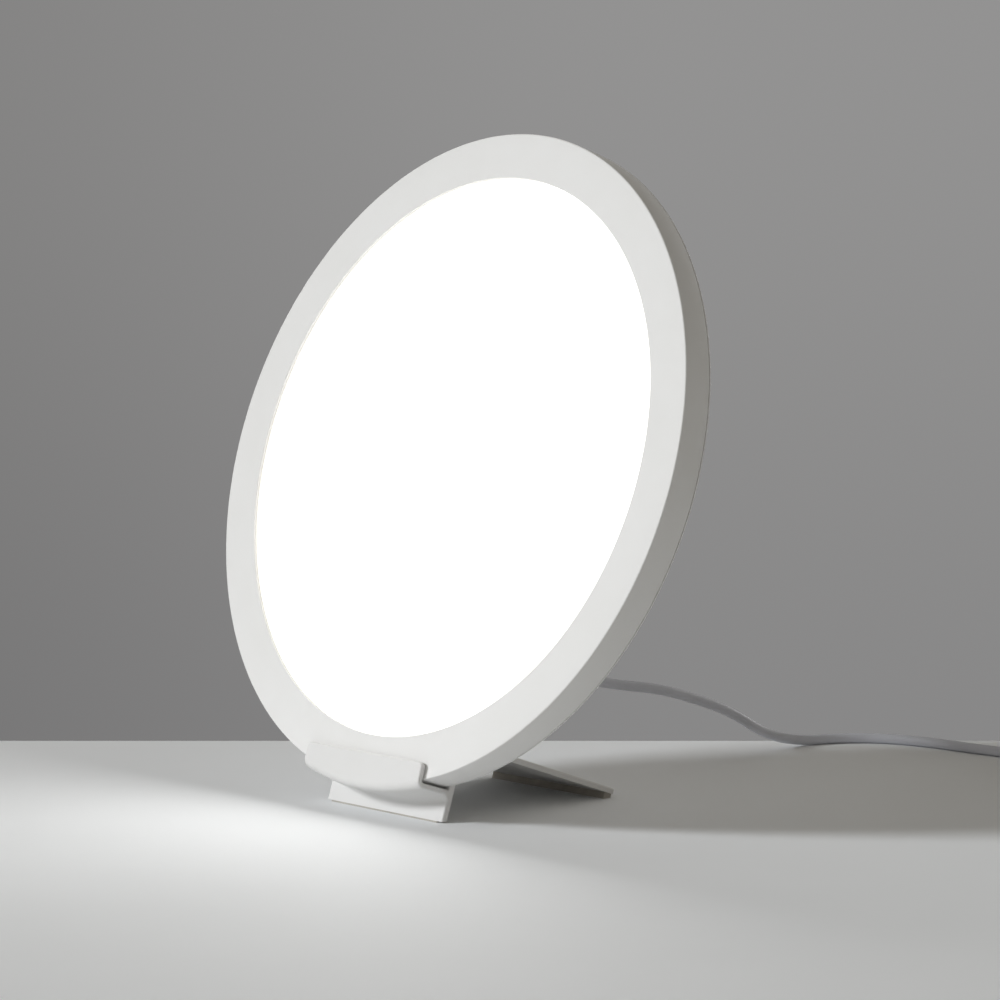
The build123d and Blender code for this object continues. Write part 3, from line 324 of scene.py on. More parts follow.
opal = finish("opal_sheet", (0.94, 0.94, 0.93), (0.90, 0.90, 0.89), (0.45, 0.55), 30, (1800, 0.000004))
tree = opal.node_tree
full_light, light_at_ring = (1.0, 0.992, 0.972), (0.24, 0.233, 0.212)
full_to, weak_from = 0.1410, 0.1520
near_ring = ramp(tree, from_centre(tree), full_to, weak_from)
glow = mixed(tree, near_ring, full_light, light_at_ring)
tree.links.new(glow, tree.nodes["Principled BSDF"].inputs["Emission Color"])
tree.nodes["Principled BSDF"].inputs["Emission Strength"].default_value = 3.38
dress("diffuser", opal)

# ---------------------------------------------------------------------------------------
# Light guide, reflector and foam: a clear acrylic disc with white dots printed on its back,
# which throw the edge light forward, a white film behind it, and a foam disc that presses both on.


def overlay(material, share, colour):
    """Lay a second colour over a finish where the share says."""
    tree = material.node_tree
    socket = tree.nodes["Principled BSDF"].inputs["Base Color"]
    under = socket.links[0].from_socket
    tree.links.new(mixed(tree, share, under, colour), socket)


def flat_cells(tree, scale, scatter, **settings):
    """Cells over the upright x and height: in rows without scatter, loose with it."""
    x, _, z = upright_place(tree)
    cells = {"Vector": vector(tree, x=x, y=z), "Scale": scale, "Randomness": scatter}
    return add_node(tree, "ShaderNodeTexVoronoi", cells, voronoi_dimensions="2D", **settings)


acrylic = finish("clear_acrylic", (0.90, 0.94, 0.95), (0.84, 0.90, 0.92), (0.05, 0.12), 20)
dots_a_metre, dot_share, dot_white = 500.0, 0.28, (0.95, 0.95, 0.95)
from_dot = flat_cells(acrylic.node_tree, dots_a_metre, 0.0).outputs["Distance"]
overlay(acrylic, calc(acrylic.node_tree, "LESS_THAN", from_dot, dot_share), dot_white)
film = finish("white_film", (0.94, 0.94, 0.94), (0.90, 0.90, 0.90), (0.3, 0.4), 40)
foam = finish("grey_foam", (0.36, 0.36, 0.37), (0.24, 0.24, 0.25), (0.85, 0.95), 900, (1500, 0.0003))
dress("light_guide", acrylic)
dress("reflector_sheet", film)
dress("foam_pad", foam)

# ---------------------------------------------------------------------------------------
# LED ring: an aluminium strip bent to a ring. A white flexible strip is glued to its inside,
# with 72 side-firing LEDs that look into the guide's edge: a resin body round a phosphor window.
bent_aluminium = finish(
    "bent_aluminium", (0.80, 0.80, 0.81), (0.70, 0.70, 0.71), (0.28, 0.42), 90, (900, 0.00001), 1.0
)
laminate = finish("white_laminate", (0.86, 0.86, 0.84), (0.78, 0.78, 0.76), (0.35, 0.5), 200)
phosphor = finish("phosphor", (0.90, 0.76, 0.24), (0.80, 0.64, 0.14), (0.2, 0.35), 900)
dress("led_ring", bent_aluminium)
dress("led_strip", laminate)

circle_tree = bpy.data.node_groups.new("pieces_round_a_circle", "GeometryNodeTree")
given, end = add_sockets(circle_tree, [
    ("Piece", "Object"), ("Count", "Int"), ("Circle Radius", "Float"), ("Start Turn", "Float"),
    ("Depth", "Float"), ("Loose Turn", "Float"), ("Seed", "Int"), ("Material", "Material"),
])
spots = {"Vertices": given["Count"], "Radius": given["Circle Radius"]}
moved = {"Geometry": made(circle_tree, "GeometryNodeMeshCircle", spots)}
moved["Translation"] = vector(circle_tree, z=given["Depth"])
moved["Rotation"] = vector(circle_tree, z=given["Start Turn"])
circle = made(circle_tree, "GeometryNodeTransform", moved)
index = circle_tree.nodes.new("GeometryNodeInputIndex").outputs[0]
pitch = calc(circle_tree, "DIVIDE", 2 * math.pi, given["Count"])
facing = calc(circle_tree, "MULTIPLY_ADD", index, pitch, given["Start Turn"])
loose = add_node(circle_tree, "FunctionNodeRandomValue", data_type="FLOAT")
circle_tree.links.new(given["Seed"], loose.inputs["Seed"])
loose_least, loose_most = [s for s in loose.inputs if s.type == "VALUE" and s.enabled][:2]
circle_tree.links.new(calc(circle_tree, "MULTIPLY", given["Loose Turn"], -1.0), loose_least)
circle_tree.links.new(given["Loose Turn"], loose_most)
random_turn = [s for s in loose.outputs if s.type == "VALUE"][0]
facing = vector(circle_tree, z=calc(circle_tree, "ADD", facing, random_turn))
source = add_node(circle_tree, "GeometryNodeObjectInfo", {"Object": given["Piece"]}).outputs["Geometry"]
placed = {"Points": circle, "Instance": source, "Rotation": facing}
placed = made(circle_tree, "GeometryNodeInstanceOnPoints", placed)
end_tree(circle_tree, end, depth_along_y(circle_tree, placed), given["Material"])


def new_piece(name, shape):
    """An object from a drawn shape."""
    mesh = bpy.data.meshes.new(name)
    shape.to_mesh(mesh)
    shape.free()
    piece = bpy.data.objects.new(name, mesh)
    collection.objects.link(piece)
    return piece


def round_the_head(name, piece, material, count, radius, start, depth, loose=0.0):
    """Repeat one drawn piece round the head's axis, then drop the single one."""
    values = {"Piece": piece, "Count": count, "Circle Radius": radius, "Start Turn": start, "Depth": depth}
    values.update({"Loose Turn": loose, "Seed": 4, "Material": material})
    ring = grown(name, circle_tree, values)
    bpy.data.objects.remove(piece)
    return closed_up(ring, upright)


led_count, led_face, guide_middle = 72, 0.1587, 0.0055
led_long, led_wide, led_high, led_wall, led_recess = 0.003, 0.0014, 0.0008, 0.00022, 0.00018
package = bmesh.new()
bmesh.ops.create_cube(package, size=1.0)
for corner in package.verts:
    x, y, z = corner.co
    corner.co = ((x + 0.5) * led_high, y * led_long, z * led_wide)
front = [face for face in package.faces if face.normal.x < -0.9]
bmesh.ops.inset_region(package, faces=front, thickness=led_wall)
for corner in front[0].verts:
    corner.co.x += led_recess
led_body = new_piece("led_body", package)
half_pitch = math.pi / led_count
leds = round_the_head("led_bodies", led_body, laminate, led_count, led_face, half_pitch, guide_middle)
leds.data.materials.append(phosphor)
for face in leds.data.polygons:
    if abs(face.area - (led_long - 2 * led_wall) * (led_wide - 2 * led_wall)) < 1e-8:
        face.material_index = 1
stands_for(leds, "phosphor", "head", "led_packages")

# ---------------------------------------------------------------------------------------
# Back plate: a 1 mm aluminium sheet that clamps the stack, rolled along x. Eight zinc-plated
# pan-head screws hold it to the inner bosses.
sheet_aluminium = finish(
    "sheet_aluminium", (0.78, 0.78, 0.79), (0.68, 0.68, 0.69), (0.25, 0.42), 14, (700, 0.000008), 1.0,
    stretch=(1, 40, 40),
)
zinc = finish("zinc_steel", (0.70, 0.70, 0.72), (0.54, 0.54, 0.56), (0.25, 0.4), 700, (2600, 0.00001), 1.0)
dress("back_plate", sheet_aluminium)


def cross_screw(name, shank, long, head, high, countersunk):
    """Screw with a tapered cross recess. Its seat or flush face is at 0 and its shank runs down."""
    shape, sides = bmesh.new(), 24
    if countersunk:
        outline = [(head - 0.0003, 0), (head, -0.00012), (shank, -high)]
    else:
        outline = [(head * 0.62, high), (head * 0.9, high * 0.8), (head, high * 0.42), (head * 0.97, 0)]
        outline += [(shank, 0)]
    outline += [(shank, -long + 0.0007), (0.0004, -long)]
    rings = []
    for radius, level in outline:
        turns = [2 * math.pi * k / sides for k in range(sides)]
        rings.append([shape.verts.new((radius * math.cos(t), radius * math.sin(t), level)) for t in turns])
    for above, below in zip(rings, rings[1:]):
        for k in range(sides):
            shape.faces.new((above[k], above[(k + 1) % sides], below[(k + 1) % sides], below[k]))
    shape.faces.new(rings[-1])
    arm, half = head * 0.56, head * 0.13
    cross = [(arm, -half), (arm, half), (half, half), (half, arm), (-half, arm), (-half, half)]
    cross += [(-x, -y) for x, y in cross]
    top = outline[0][1]
    rim = [shape.verts.new((x, y, top)) for x, y in cross]
    deep = [shape.verts.new((x * 0.6, y * 0.6, top - high * 0.6)) for x, y in cross]
    for k in range(12):
        shape.faces.new((rim[k], rim[(k + 1) % 12], deep[(k + 1) % 12], deep[k]))
    shape.faces.new(deep)
    edges = [shape.edges.get((rings[0][k], rings[0][(k + 1) % sides])) for k in range(sides)]
    edges += [shape.edges.get((rim[k], rim[(k + 1) % 12])) for k in range(12)]
    bmesh.ops.triangle_fill(shape, use_beauty=True, use_dissolve=False, edges=edges)
    bmesh.ops.recalc_face_normals(shape, faces=shape.faces)
    return new_piece(name, shape)


plate_screw = cross_screw("plate_screw", 0.0012, 0.005, 0.0023, 0.0015, False)
plate_back = 0.0091
plate_screws = round_the_head(
    "plate_screws", plate_screw, zinc, boss_count, plate_circle, 0.0, plate_back, math.pi
)
stands_for(plate_screws, "zinc_steel", "head", "back_plate_screws")

# ---------------------------------------------------------------------------------------
# Electronics: an LED driver and a small control board on nylon standoffs, over a black
# insulating sheet. Ferrite transformer in yellow tape, sleeved cans, ceramic fuse.


def upright_above(tree, axis, level):
    """1 where the upright x (0), depth (1) or height (2) is over a level."""
    return calc(tree, "GREATER_THAN", upright_place(tree)[axis], level)


def board_finish(name, pitch):
    """Green solder mask with lighter tracks under it and tinned pads on a grid."""
    board = finish(name, (0.045, 0.24, 0.10), (0.02, 0.16, 0.06), (0.3, 0.42), 400)
    tree = board.node_tree
    track_cells, track_gap, track_wide = 160.0, 0.12, 0.03
    tracks = flat_cells(tree, track_cells, 1.0, distance="CHEBYCHEV").outputs["Distance"]
    near = calc(tree, "LESS_THAN", calc(tree, "PINGPONG", tracks, track_gap), track_wide)
    overlay(board, near, (0.09, 0.36, 0.16))
    spots = flat_cells(tree, pitch, 0.0).outputs
    red = made(tree, "ShaderNodeSeparateColor", {0: spots["Color"]})
    left_blank, pad_radius = 0.72, 0.3
    picked = calc(tree, "GREATER_THAN", red, left_blank)
    pads = calc(tree, "MULTIPLY", calc(tree, "LESS_THAN", spots["Distance"], pad_radius), picked)
    overlay(board, pads, (0.70, 0.69, 0.66))
    return board


nylon = finish("nylon", (0.82, 0.80, 0.74), (0.74, 0.72, 0.65), (0.45, 0.6), 300)
tape = finish(
    "yellow_tape", (0.82, 0.64, 0.14), (0.72, 0.53, 0.08), (0.3, 0.45), 200, (900, 0.00003),
    stretch=(1, 1, 12),
)
can_sleeve = finish("capacitor_sleeve", (0.09, 0.10, 0.16), (0.05, 0.06, 0.11), (0.2, 0.32), 200)
can_top, can_metal = 0.02585, (0.66, 0.66, 0.67)
overlay(can_sleeve, upright_above(can_sleeve.node_tree, 1, can_top), can_metal)
ferrite = finish("ferrite", (0.13, 0.13, 0.14), (0.07, 0.07, 0.08), (0.55, 0.7), 700, (1200, 0.00004))
ceramic = finish("ceramic", (0.88, 0.86, 0.82), (0.78, 0.76, 0.70), (0.25, 0.4), 300)
epoxy = finish("black_epoxy", (0.06, 0.06, 0.065), (0.035, 0.035, 0.038), (0.5, 0.62), 500)
black_sheet = finish("black_sheet", (0.06, 0.06, 0.06), (0.03, 0.03, 0.03), (0.4, 0.55), 120)
dress("driver_board", board_finish("driver_laminate", 400.0))
dress("control_board", board_finish("control_laminate", 500.0))
for node in ("board_standoffs", "terminal_block", "led_connector", "gland_nut"):
    dress(node, nylon)
for node in ("power_plunger", "brightness_plunger", "timer_plunger"):
    dress(node, nylon)
for node in ("power_chips", "control_chip", "switch_bodies"):
    dress(node, epoxy)
dress("bulk_capacitors", can_sleeve)
dress("film_capacitor", finish("capacitor_case", (0.30, 0.09, 0.04), (0.24, 0.06, 0.03), (0.3, 0.42), 300))
dress("board_screws", zinc)
dress("transformer", tape)
dress("input_choke", ferrite)
dress("fuse", ceramic)
dress("insulation_sheet", black_sheet)

# ---------------------------------------------------------------------------------------
# Inner wiring: brown and blue mains leads, a red and black pair to the LED strip and a grey
# flat ribbon between the boards, all in PVC.
mains_sheath = finish("mains_wire_sheath", (0.20, 0.09, 0.045), (0.16, 0.07, 0.035), (0.35, 0.45), 300)
overlay(mains_sheath, upright_above(mains_sheath.node_tree, 0, 0.0), (0.05, 0.17, 0.42))
led_sheath = finish("led_wire_sheath", (0.05, 0.05, 0.05), (0.03, 0.03, 0.03), (0.35, 0.45), 300)
red_above = -0.0287
overlay(led_sheath, upright_above(led_sheath.node_tree, 2, red_above), (0.50, 0.05, 0.04))
ribbon_sheath = finish("ribbon_sheath", (0.60, 0.60, 0.61), (0.52, 0.52, 0.53), (0.4, 0.5), 300)
half_strand, groove_half = 0.0005, 0.0001
ribs = calc(ribbon_sheath.node_tree, "PINGPONG", upright_place(ribbon_sheath.node_tree)[2], half_strand)
# Darker lines between the strands are painted shade in the ribbon's grooves.
groove_shade = calc(ribbon_sheath.node_tree, "LESS_THAN", ribs, groove_half)
overlay(ribbon_sheath, groove_shade, (0.34, 0.34, 0.35))
dress("mains_leads", mains_sheath)
dress("led_leads", led_sheath)
dress("control_ribbon", ribbon_sheath)

# ---------------------------------------------------------------------------------------
# Back cover: a white ABS dish with the raised housing for the electronics, a row of vents and
# three button holes. It closes the rim with a fine dark seam. Its moulded edges are eased.


def eased_copy(name, node, material, width):
    """Merged copy of a CAD node with its hard edges rounded off."""
    mesh = cad[node].data.copy()
    for layer in [a.name for a in mesh.attributes if a.name == "custom_normal"]:
        mesh.attributes.remove(mesh.attributes[layer])
    shape = bmesh.new()
    shape.from_mesh(mesh)
    bmesh.ops.remove_doubles(shape, verts=shape.verts, dist=2e-6)
    flat = math.radians(0.15)
    bmesh.ops.dissolve_limit(shape, angle_limit=flat, verts=shape.verts[:], edges=shape.edges[:])
    piece = new_piece(name, shape)
    piece.data.materials.clear()
    piece.data.materials.append(material)
    bevel = piece.modifiers.new("eased_edges", "BEVEL")
    bevel.width = width
    bevel.segments = 2
    bevel.limit_method = "ANGLE"
    bevel.angle_limit = math.radians(40)
    weigh = piece.modifiers.new("even_shading", "WEIGHTED_NORMAL")
    weigh.keep_sharp = True
    piece.data.shade_smooth()
    graph = bpy.context.evaluated_depsgraph_get()
    eased = bpy.data.meshes.new_from_object(piece.evaluated_get(graph))
    piece.modifiers.clear()
    piece.data = eased
    return piece


cover = eased_copy("rear_shell", "back_cover", abs_white, 0.0002)
stands_for(cover, "white_moulding", "head", "back_cover")

cover_back = 0.0185
cover_screw = cross_screw("cover_screw", 0.0014, 0.0085, 0.0029, 0.00145, True)
half_pitch = math.pi / boss_count
shell_screws = round_the_head(
    "shell_screws", cover_screw, zinc, boss_count, cover_circle, half_pitch, cover_back, math.pi
)
stands_for(shell_screws, "zinc_steel", "head", "cover_screws")

# ---------------------------------------------------------------------------------------
# Buttons: three light grey caps with dished tops, held behind the cover by their flanges. A
# printed sign on each says what it does: on and off, brightness, and timer.
button_grey = finish("white_button", (0.66, 0.66, 0.66), (0.60, 0.60, 0.60), (0.42, 0.52), 60)
button_ink = finish("button_ink", (0.12, 0.12, 0.125), (0.09, 0.09, 0.095), (0.4, 0.5), 300)
button_row, cap_end, cap_round, dish = -0.042, 0.0305, 0.0005, 0.00035
flange_wide, flange_back, flange_front, dish_margin = 0.0012, 0.0274, 0.0265, 0.0006
sign_stroke, ink_proud, ink_sunk = 0.00036, 0.00003, 0.00006


def turn_outline(shape, outline, sides, x, z):
    """Closed turned body from an outline of radius and depth that starts and ends on its axis."""
    before = None
    for radius, depth in outline:
        if radius == 0:
            ring = [shape.verts.new((x, depth, z))]
        else:
            turns = [2 * math.pi * k / sides for k in range(sides)]
            places = [(x + radius * math.cos(t), depth, z + radius * math.sin(t)) for t in turns]
            ring = [shape.verts.new(place) for place in places]
        if before:
            for k in range(sides):
                corners = [before[k % len(before)], before[(k + 1) % len(before)]]
                corners += [ring[(k + 1) % len(ring)], ring[k % len(ring)]]
                shape.faces.new(list(dict.fromkeys(corners)))
        before = ring


def stroke(shape, line, wide, x, z, radius):
    """Printed line on the dished top: a thin closed strip along points in x and height."""
    rows = []
    for k, (px, pz) in enumerate(line):
        ahead = Vector(line[min(k + 1, len(line) - 1)]) - Vector(line[max(k - 1, 0)])
        side = Vector((-ahead.y, ahead.x)).normalized() * wide / 2
        row = []
        for sign in (-1, 1):
            cx, cz = px + sign * side.x, pz + sign * side.y
            level = cap_end - dish * (1 - (cx * cx + cz * cz) / (radius * radius))
            row.append([shape.verts.new((x + cx, level + rise, z + cz)) for rise in (ink_proud, -ink_sunk)])
        rows.append([row[0][0], row[1][0], row[1][1], row[0][1]])
    for first, second in zip(rows, rows[1:]):
        for k in range(4):
            face = shape.faces.new((first[k], first[(k + 1) % 4], second[(k + 1) % 4], second[k]))
            face.material_index = 1
    for row in (rows[0], rows[-1]):
        shape.faces.new(row).material_index = 1


def arc(radius, start, end, steps):
    """Points along an arc about 0, from one angle to another."""
    turns = [math.radians(start + (end - start) * k / steps) for k in range(steps + 1)]
    return [(radius * math.cos(t), radius * math.sin(t)) for t in turns]


broken_ring = arc(0.0022, 118, 422, 40)
rays = [[spot * 0.0016, spot * 0.0024] for spot in [Vector(p) for p in arc(1.0, 0, 315, 7)]]
sun = [arc(0.0010, 0, 180, 14), arc(0.0010, 180, 360, 14)]
clock = [arc(0.0020, 0, 180, 20), arc(0.0020, 180, 360, 20), [(0, 0), (0, 0.0014)], [(0, 0), (0.0010, 0)]]
signs = {
    "power": (0.038, 0.0065, [broken_ring, [(0, 0.0007), (0, 0.0031)]]),
    "brightness": (0.056, 0.0045, sun + rays),
    "timer": (0.074, 0.0045, clock),
}
for word, (x, radius, lines) in signs.items():
    shape = bmesh.new()
    flange = radius + flange_wide
    outline = [(0, flange_front), (flange - 0.0001, flange_front), (flange, flange_front + 0.0001)]
    outline += [(flange, flange_back), (radius, flange_back)]
    edge = arc(cap_round, 0, 90, 5)
    outline += [(radius - cap_round + out, cap_end - cap_round + back) for out, back in edge]
    inner = [(radius - dish_margin) * (1 - k / 5) for k in range(6)]
    outline += [(r, cap_end - dish * (1 - (r / radius) ** 2)) for r in inner]
    turn_outline(shape, outline, 40, x, button_row)
    for line in lines:
        stroke(shape, line, sign_stroke, x, button_row, radius)
    cap = new_piece(word + "_cap", shape)
    cap.data.materials.append(button_grey)
    cap.data.materials.append(button_ink)
    closed_up(cap, upright)
    stands_for(cap, "white_button", word, word + "_button")

# ---------------------------------------------------------------------------------------
# Strain relief: a soft grey PVC boot moulded on the lead, with staggered slots that let it
# bend, and a flanged neck through the housing that the nylon nut holds.
sheath = finish("grey_sheath", (0.63, 0.64, 0.70), (0.56, 0.57, 0.625), (0.40, 0.52), 40, (1800, 0.00002))
boot_start, boot_end, boot_base, boot_tip, gland_height = 0.0315, 0.0615, 0.0056, 0.0039, -0.098
slot_pitch, slot_wide, slot_deep, slot_rows, first_slot = 0.0027, 0.0012, 0.0010, 9, 0.0035
slot_slope, bridge_to, bridge_slope = 0.0001, 0.42, 0.12
neck = [(0, 0.0225), (0.0047, 0.0225), (0.0049, 0.0227), (0.0049, 0.0295), (0.0072, 0.0295), (0.0075, 0.0298)]
neck += [(0.0075, 0.0310), (0.0070, 0.0315), (boot_base + 0.0004, 0.0315), (boot_base, 0.0319)]


def slot_depth(depth, turned):
    """How deep the boot is cut at a place: two slots a row, each row a quarter turn on."""
    row = round((depth - boot_start - first_slot) / slot_pitch)
    if row < 0 or row >= slot_rows:
        return 0.0
    off = abs(depth - boot_start - first_slot - row * slot_pitch)
    along = min(1.0, max(0.0, (slot_wide / 2 + slot_slope - off) / (2 * slot_slope)))
    swing = abs(math.cos(turned + row * math.pi / 2))
    across = min(1.0, max(0.0, (swing - bridge_to) / bridge_slope))
    return slot_deep * along * across


boot = bmesh.new()
sides, rings = 48, []
step, margin = 0.0001, 0.0004
level_count = int((boot_end - boot_start - 2 * margin) / step) + 1
levels = [boot_start + margin + k * step for k in range(level_count)]
taper = (boot_base - boot_tip) / (boot_end - boot_start)
boot_outline = [(radius, level, False) for radius, level in neck[1:]]
boot_outline += [(boot_base - taper * (level - boot_start), level, True) for level in levels]
boot_outline += [(boot_tip - 0.0002, boot_end - 0.0001, False), (boot_tip - 0.0006, boot_end, False)]
for radius, level, cut in boot_outline:
    row = []
    for k in range(sides):
        turned = 2 * math.pi * k / sides
        here = radius - (slot_depth(level, turned) if cut else 0)
        row.append(boot.verts.new((here * math.cos(turned), level, gland_height + here * math.sin(turned))))
    rings.append(row)
for first, second in zip(rings, rings[1:]):
    for k in range(sides):
        boot.faces.new((first[k], first[(k + 1) % sides], second[(k + 1) % sides], second[k]))
boot.faces.new(rings[0])
boot.faces.new(rings[-1])
relief = new_piece("lead_boot", boot)
relief.data.materials.append(sheath)
closed_up(relief, upright)
stands_for(relief, "grey_sheath", "head", "strain_relief")

# ---------------------------------------------------------------------------------------
# Mains lead: 1.87 m of round 6 mm grey PVC cord. It leaves the boot, sinks to the table behind
# the lamp, and its spare length is put away in a tied coil that ends in a moulded plug.
lead = [
    (0.0, 16.57, 77.72),
    (0.0, 47.05, 67.99),
    (-4.7, 84.0, 61.0),
    (-7.1, 120.0, 52.2),
    (-9.5, 156.0, 46.6),
    (-11.8, 190.0, 37.2),
    (-13.9, 222.0, 26.0),
    (-15.9, 252.0, 9.5),
    (-15.0, 280.0, 3.0),
    (-8.0, 307.0, 3.0),
    (12.0, 327.0, 3.0),
    (40.0, 335.0, 3.0),
    (71.0, 336.5, 3.0),
    (100.0, 339.5, 3.0),
]
tail = [
    (158.0, 350.5, 8.6),
    (180.0, 363.5, 7.6),
    (190.0, 387.0, 6.85),
    (190.0, 409.0, 6.85),
]
coil_centre = Vector((122.0, 386.5, 0.0))
coil_outer, coil_step, coil_low, coil_high = 43.5, 6.0, 3.9, 9.9
coil_turns, points_a_turn, entry_turn = 6, 20, math.radians(-82)
inwards_from, inwards_over, climb_rate = 0.40, 0.58, 5


def eased(share):
    """Share between 0 and 1 that starts and ends gently."""
    share = min(1.0, max(0.0, share))
    return share * share * (3 - 2 * share)


def coil_point(turned):
    """Centre of the cord after a number of turns: inwards below, then outwards on top."""
    half = coil_turns / 2
    from_middle = abs(turned - half)
    whole = math.floor(half - from_middle)
    inwards = whole + eased((half - from_middle - whole - inwards_from) / inwards_over)
    climb = eased((turned - half) * climb_rate + 0.5)
    angle = entry_turn + 2 * math.pi * turned
    radius = coil_outer - coil_step * min(half, inwards)
    level = coil_low + (coil_high - coil_low) * climb
    return coil_centre + Vector((radius * math.cos(angle), radius * math.sin(angle), level))


coil_points = [coil_point(k / points_a_turn) for k in range(int(coil_turns * points_a_turn) + 1)]
millimetre = 0.001
route = [Vector(point) * millimetre for point in lead + coil_points + tail]
cord_curve = bpy.data.curves.new("mains_lead", "CURVE")
cord_curve.dimensions = "3D"
spline = cord_curve.splines.new("NURBS")
spline.points.add(len(route) - 1)
for point, place in zip(spline.points, route):
    point.co = (*place, 1)
spline.order_u = 3
spline.use_endpoint_u = True
spline.resolution_u = 6
cord_curve.bevel_depth = 0.003
cord_curve.bevel_resolution = 6
cord_curve.use_fill_caps = True
cord_piece = bpy.data.objects.new("mains_lead", cord_curve)
collection.objects.link(cord_piece)
cord_curve.materials.append(sheath)
stands_for(cord_piece, "grey_sheath", "head", "cord", "cord_coil", "cord_tail")

# ---------------------------------------------------------------------------------------
# Cord tie: a 10 mm black hook-and-loop strap. It goes once round the coil's turns on one side
# and holds them together.
strap_black = finish("black_strap", (0.06, 0.06, 0.06), (0.03, 0.03, 0.03), (0.75, 0.9), 900, (1400, 0.0002))
tie_wide, tie_high, tie_thick, tie_round, tie_long = 0.0272, 0.0144, 0.0008, 0.0045, 0.010
tie_from_centre, tie_turn = 0.0345, math.radians(60)
tie_shape = bmesh.new()
strap_rows = []
for corner, turned in (((1, 1), 0), ((-1, 1), 90), ((-1, -1), 180), ((1, -1), 270)):
    for k in range(7):
        angle = math.radians(turned + 15 * k)
        row = []
        for inset in (0.0, tie_thick):
            radius = tie_round - inset
            x = corner[0] * (tie_wide / 2 - tie_round) + radius * math.cos(angle)
            z = corner[1] * (tie_high / 2 - tie_round) + radius * math.sin(angle) + tie_high / 2
            row.append([tie_shape.verts.new((x, side * tie_long / 2, z)) for side in (-1, 1)])
        strap_rows.append([row[0][0], row[0][1], row[1][1], row[1][0]])
for k, first in enumerate(strap_rows):
    second = strap_rows[(k + 1) % len(strap_rows)]
    for j in range(4):
        tie_shape.faces.new((first[j], first[(j + 1) % 4], second[(j + 1) % 4], second[j]))
tie = new_piece("coil_strap", tie_shape)
tie.data.materials.append(strap_black)
tie_place = Matrix.Translation(coil_centre * millimetre) @ Matrix.Rotation(tie_turn, 4, "Z")
closed_up(tie, tie_place @ Matrix.Translation((tie_from_centre, 0, 0)), 40)
stands_for(tie, "black_strap", "head", "cord_tie")

# ---------------------------------------------------------------------------------------
# Plug: a flat two-pin plug moulded on the cord in the same PVC, with a ringed nose, a waist
# and grip ribs on both faces. The brass pins are nickel-plated, in black sleeves.
plug_half, plug_sides, plug_seat = 0.00685, 48, (0.190, 0.409)
nose_long, nose_thin, nose_thick, nose_groove, nose_step = 0.014, 0.0040, 0.0050, 0.00035, 0.0005
grooved = (6, 7, 12, 13, 18, 19)
waist_long, waist_wider, waist_thicker = 0.006, 0.008, 0.00175
body_start, body_long, body_wide, body_thick = 0.020, 0.0285, 0.013, 0.00675
grip_in, grip_down = 0.0012, 0.0006
nose_steps, waist_steps, body_steps = 28, 8, 12


def plug_ring(shape, along, wide, thick, power):
    """One cross-section: a rounded rectangle, or a circle at power 2."""
    row = []
    for k in range(plug_sides):
        turned = 2 * math.pi * k / plug_sides
        c, s = math.cos(turned), math.sin(turned)
        x = wide * math.copysign(abs(c) ** (2 / power), c)
        z = thick * math.copysign(abs(s) ** (2 / power), s)
        row.append(shape.verts.new((x, along, z)))
    return row


plug_sections = []
for k in range(nose_steps + 1):
    along = nose_step * k
    groove = nose_groove if k in grooved else 0.0
    radius = nose_thin + (nose_thick - nose_thin) * along / nose_long - groove
    plug_sections.append((along, radius, radius, 2.0))
for k in range(1, waist_steps + 1):
    share = eased(k / waist_steps)
    wide, thick = nose_thick + waist_wider * share, nose_thick + waist_thicker * share
    plug_sections.append((nose_long + waist_long * k / waist_steps, wide, thick, 2.0 + 2.0 * share))
for k in range(1, body_steps + 1):
    share = math.sin(math.pi * k / body_steps)
    along = body_start + body_long * k / body_steps
    plug_sections.append((along, body_wide - grip_in * share, body_thick - grip_down * share, 4.0))
plug_sections += [(0.0494, 0.01295, 0.0067, 4.0), (0.0500, 0.0124, 0.00615, 4.0)]
plug_shape = bmesh.new()
plug_rings = [plug_ring(plug_shape, *section) for section in plug_sections]
for first, second in zip(plug_rings, plug_rings[1:]):
    for k in range(plug_sides):
        around = (k + 1) % plug_sides
        plug_shape.faces.new((first[k], first[around], second[around], second[k]))
plug_shape.faces.new(plug_rings[0])
plug_shape.faces.new(plug_rings[-1])
plug_place = Matrix.Translation((*plug_seat, plug_half))
plug = new_piece("plug_moulding", plug_shape)
plug.data.materials.append(sheath)
closed_up(plug, plug_place, 50)

grip_tree = bpy.data.node_groups.new("grip_rib_rows", "GeometryNodeTree")
given, end = add_sockets(grip_tree, [
    ("Count", "Int"), ("Pitch", "Float"), ("First Rib", "Float"), ("Length", "Float"),
    ("Radius", "Float"), ("Height", "Float"), ("Material", "Material"),
])
ends = [vector(grip_tree, x=calc(grip_tree, "MULTIPLY", given["Length"], share)) for share in (-0.5, 0.5)]
rib_line = made(grip_tree, "GeometryNodeCurvePrimitiveLine", {"Start": ends[0], "End": ends[1]})
rib_round = {"Resolution": 10, "Radius": given["Radius"]}
rib_circle = made(grip_tree, "GeometryNodeCurvePrimitiveCircle", rib_round)
rib_inputs = {"Curve": rib_line, "Profile Curve": rib_circle, "Fill Caps": True}
rib = made(grip_tree, "GeometryNodeCurveToMesh", rib_inputs)
rows = grip_tree.nodes.new("GeometryNodeJoinGeometry")
for sign in (-1.0, 1.0):
    height = calc(grip_tree, "MULTIPLY", given["Height"], sign)
    line = {"Count": given["Count"], "Offset": vector(grip_tree, y=given["Pitch"])}
    line["Start Location"] = vector(grip_tree, y=given["First Rib"], z=height)
    spots = made(grip_tree, "GeometryNodeMeshLine", line)
    placed = {"Points": spots, "Instance": rib}
    grip_tree.links.new(made(grip_tree, "GeometryNodeInstanceOnPoints", placed), rows.inputs[0])
end_tree(grip_tree, end, rows.outputs[0], given["Material"])
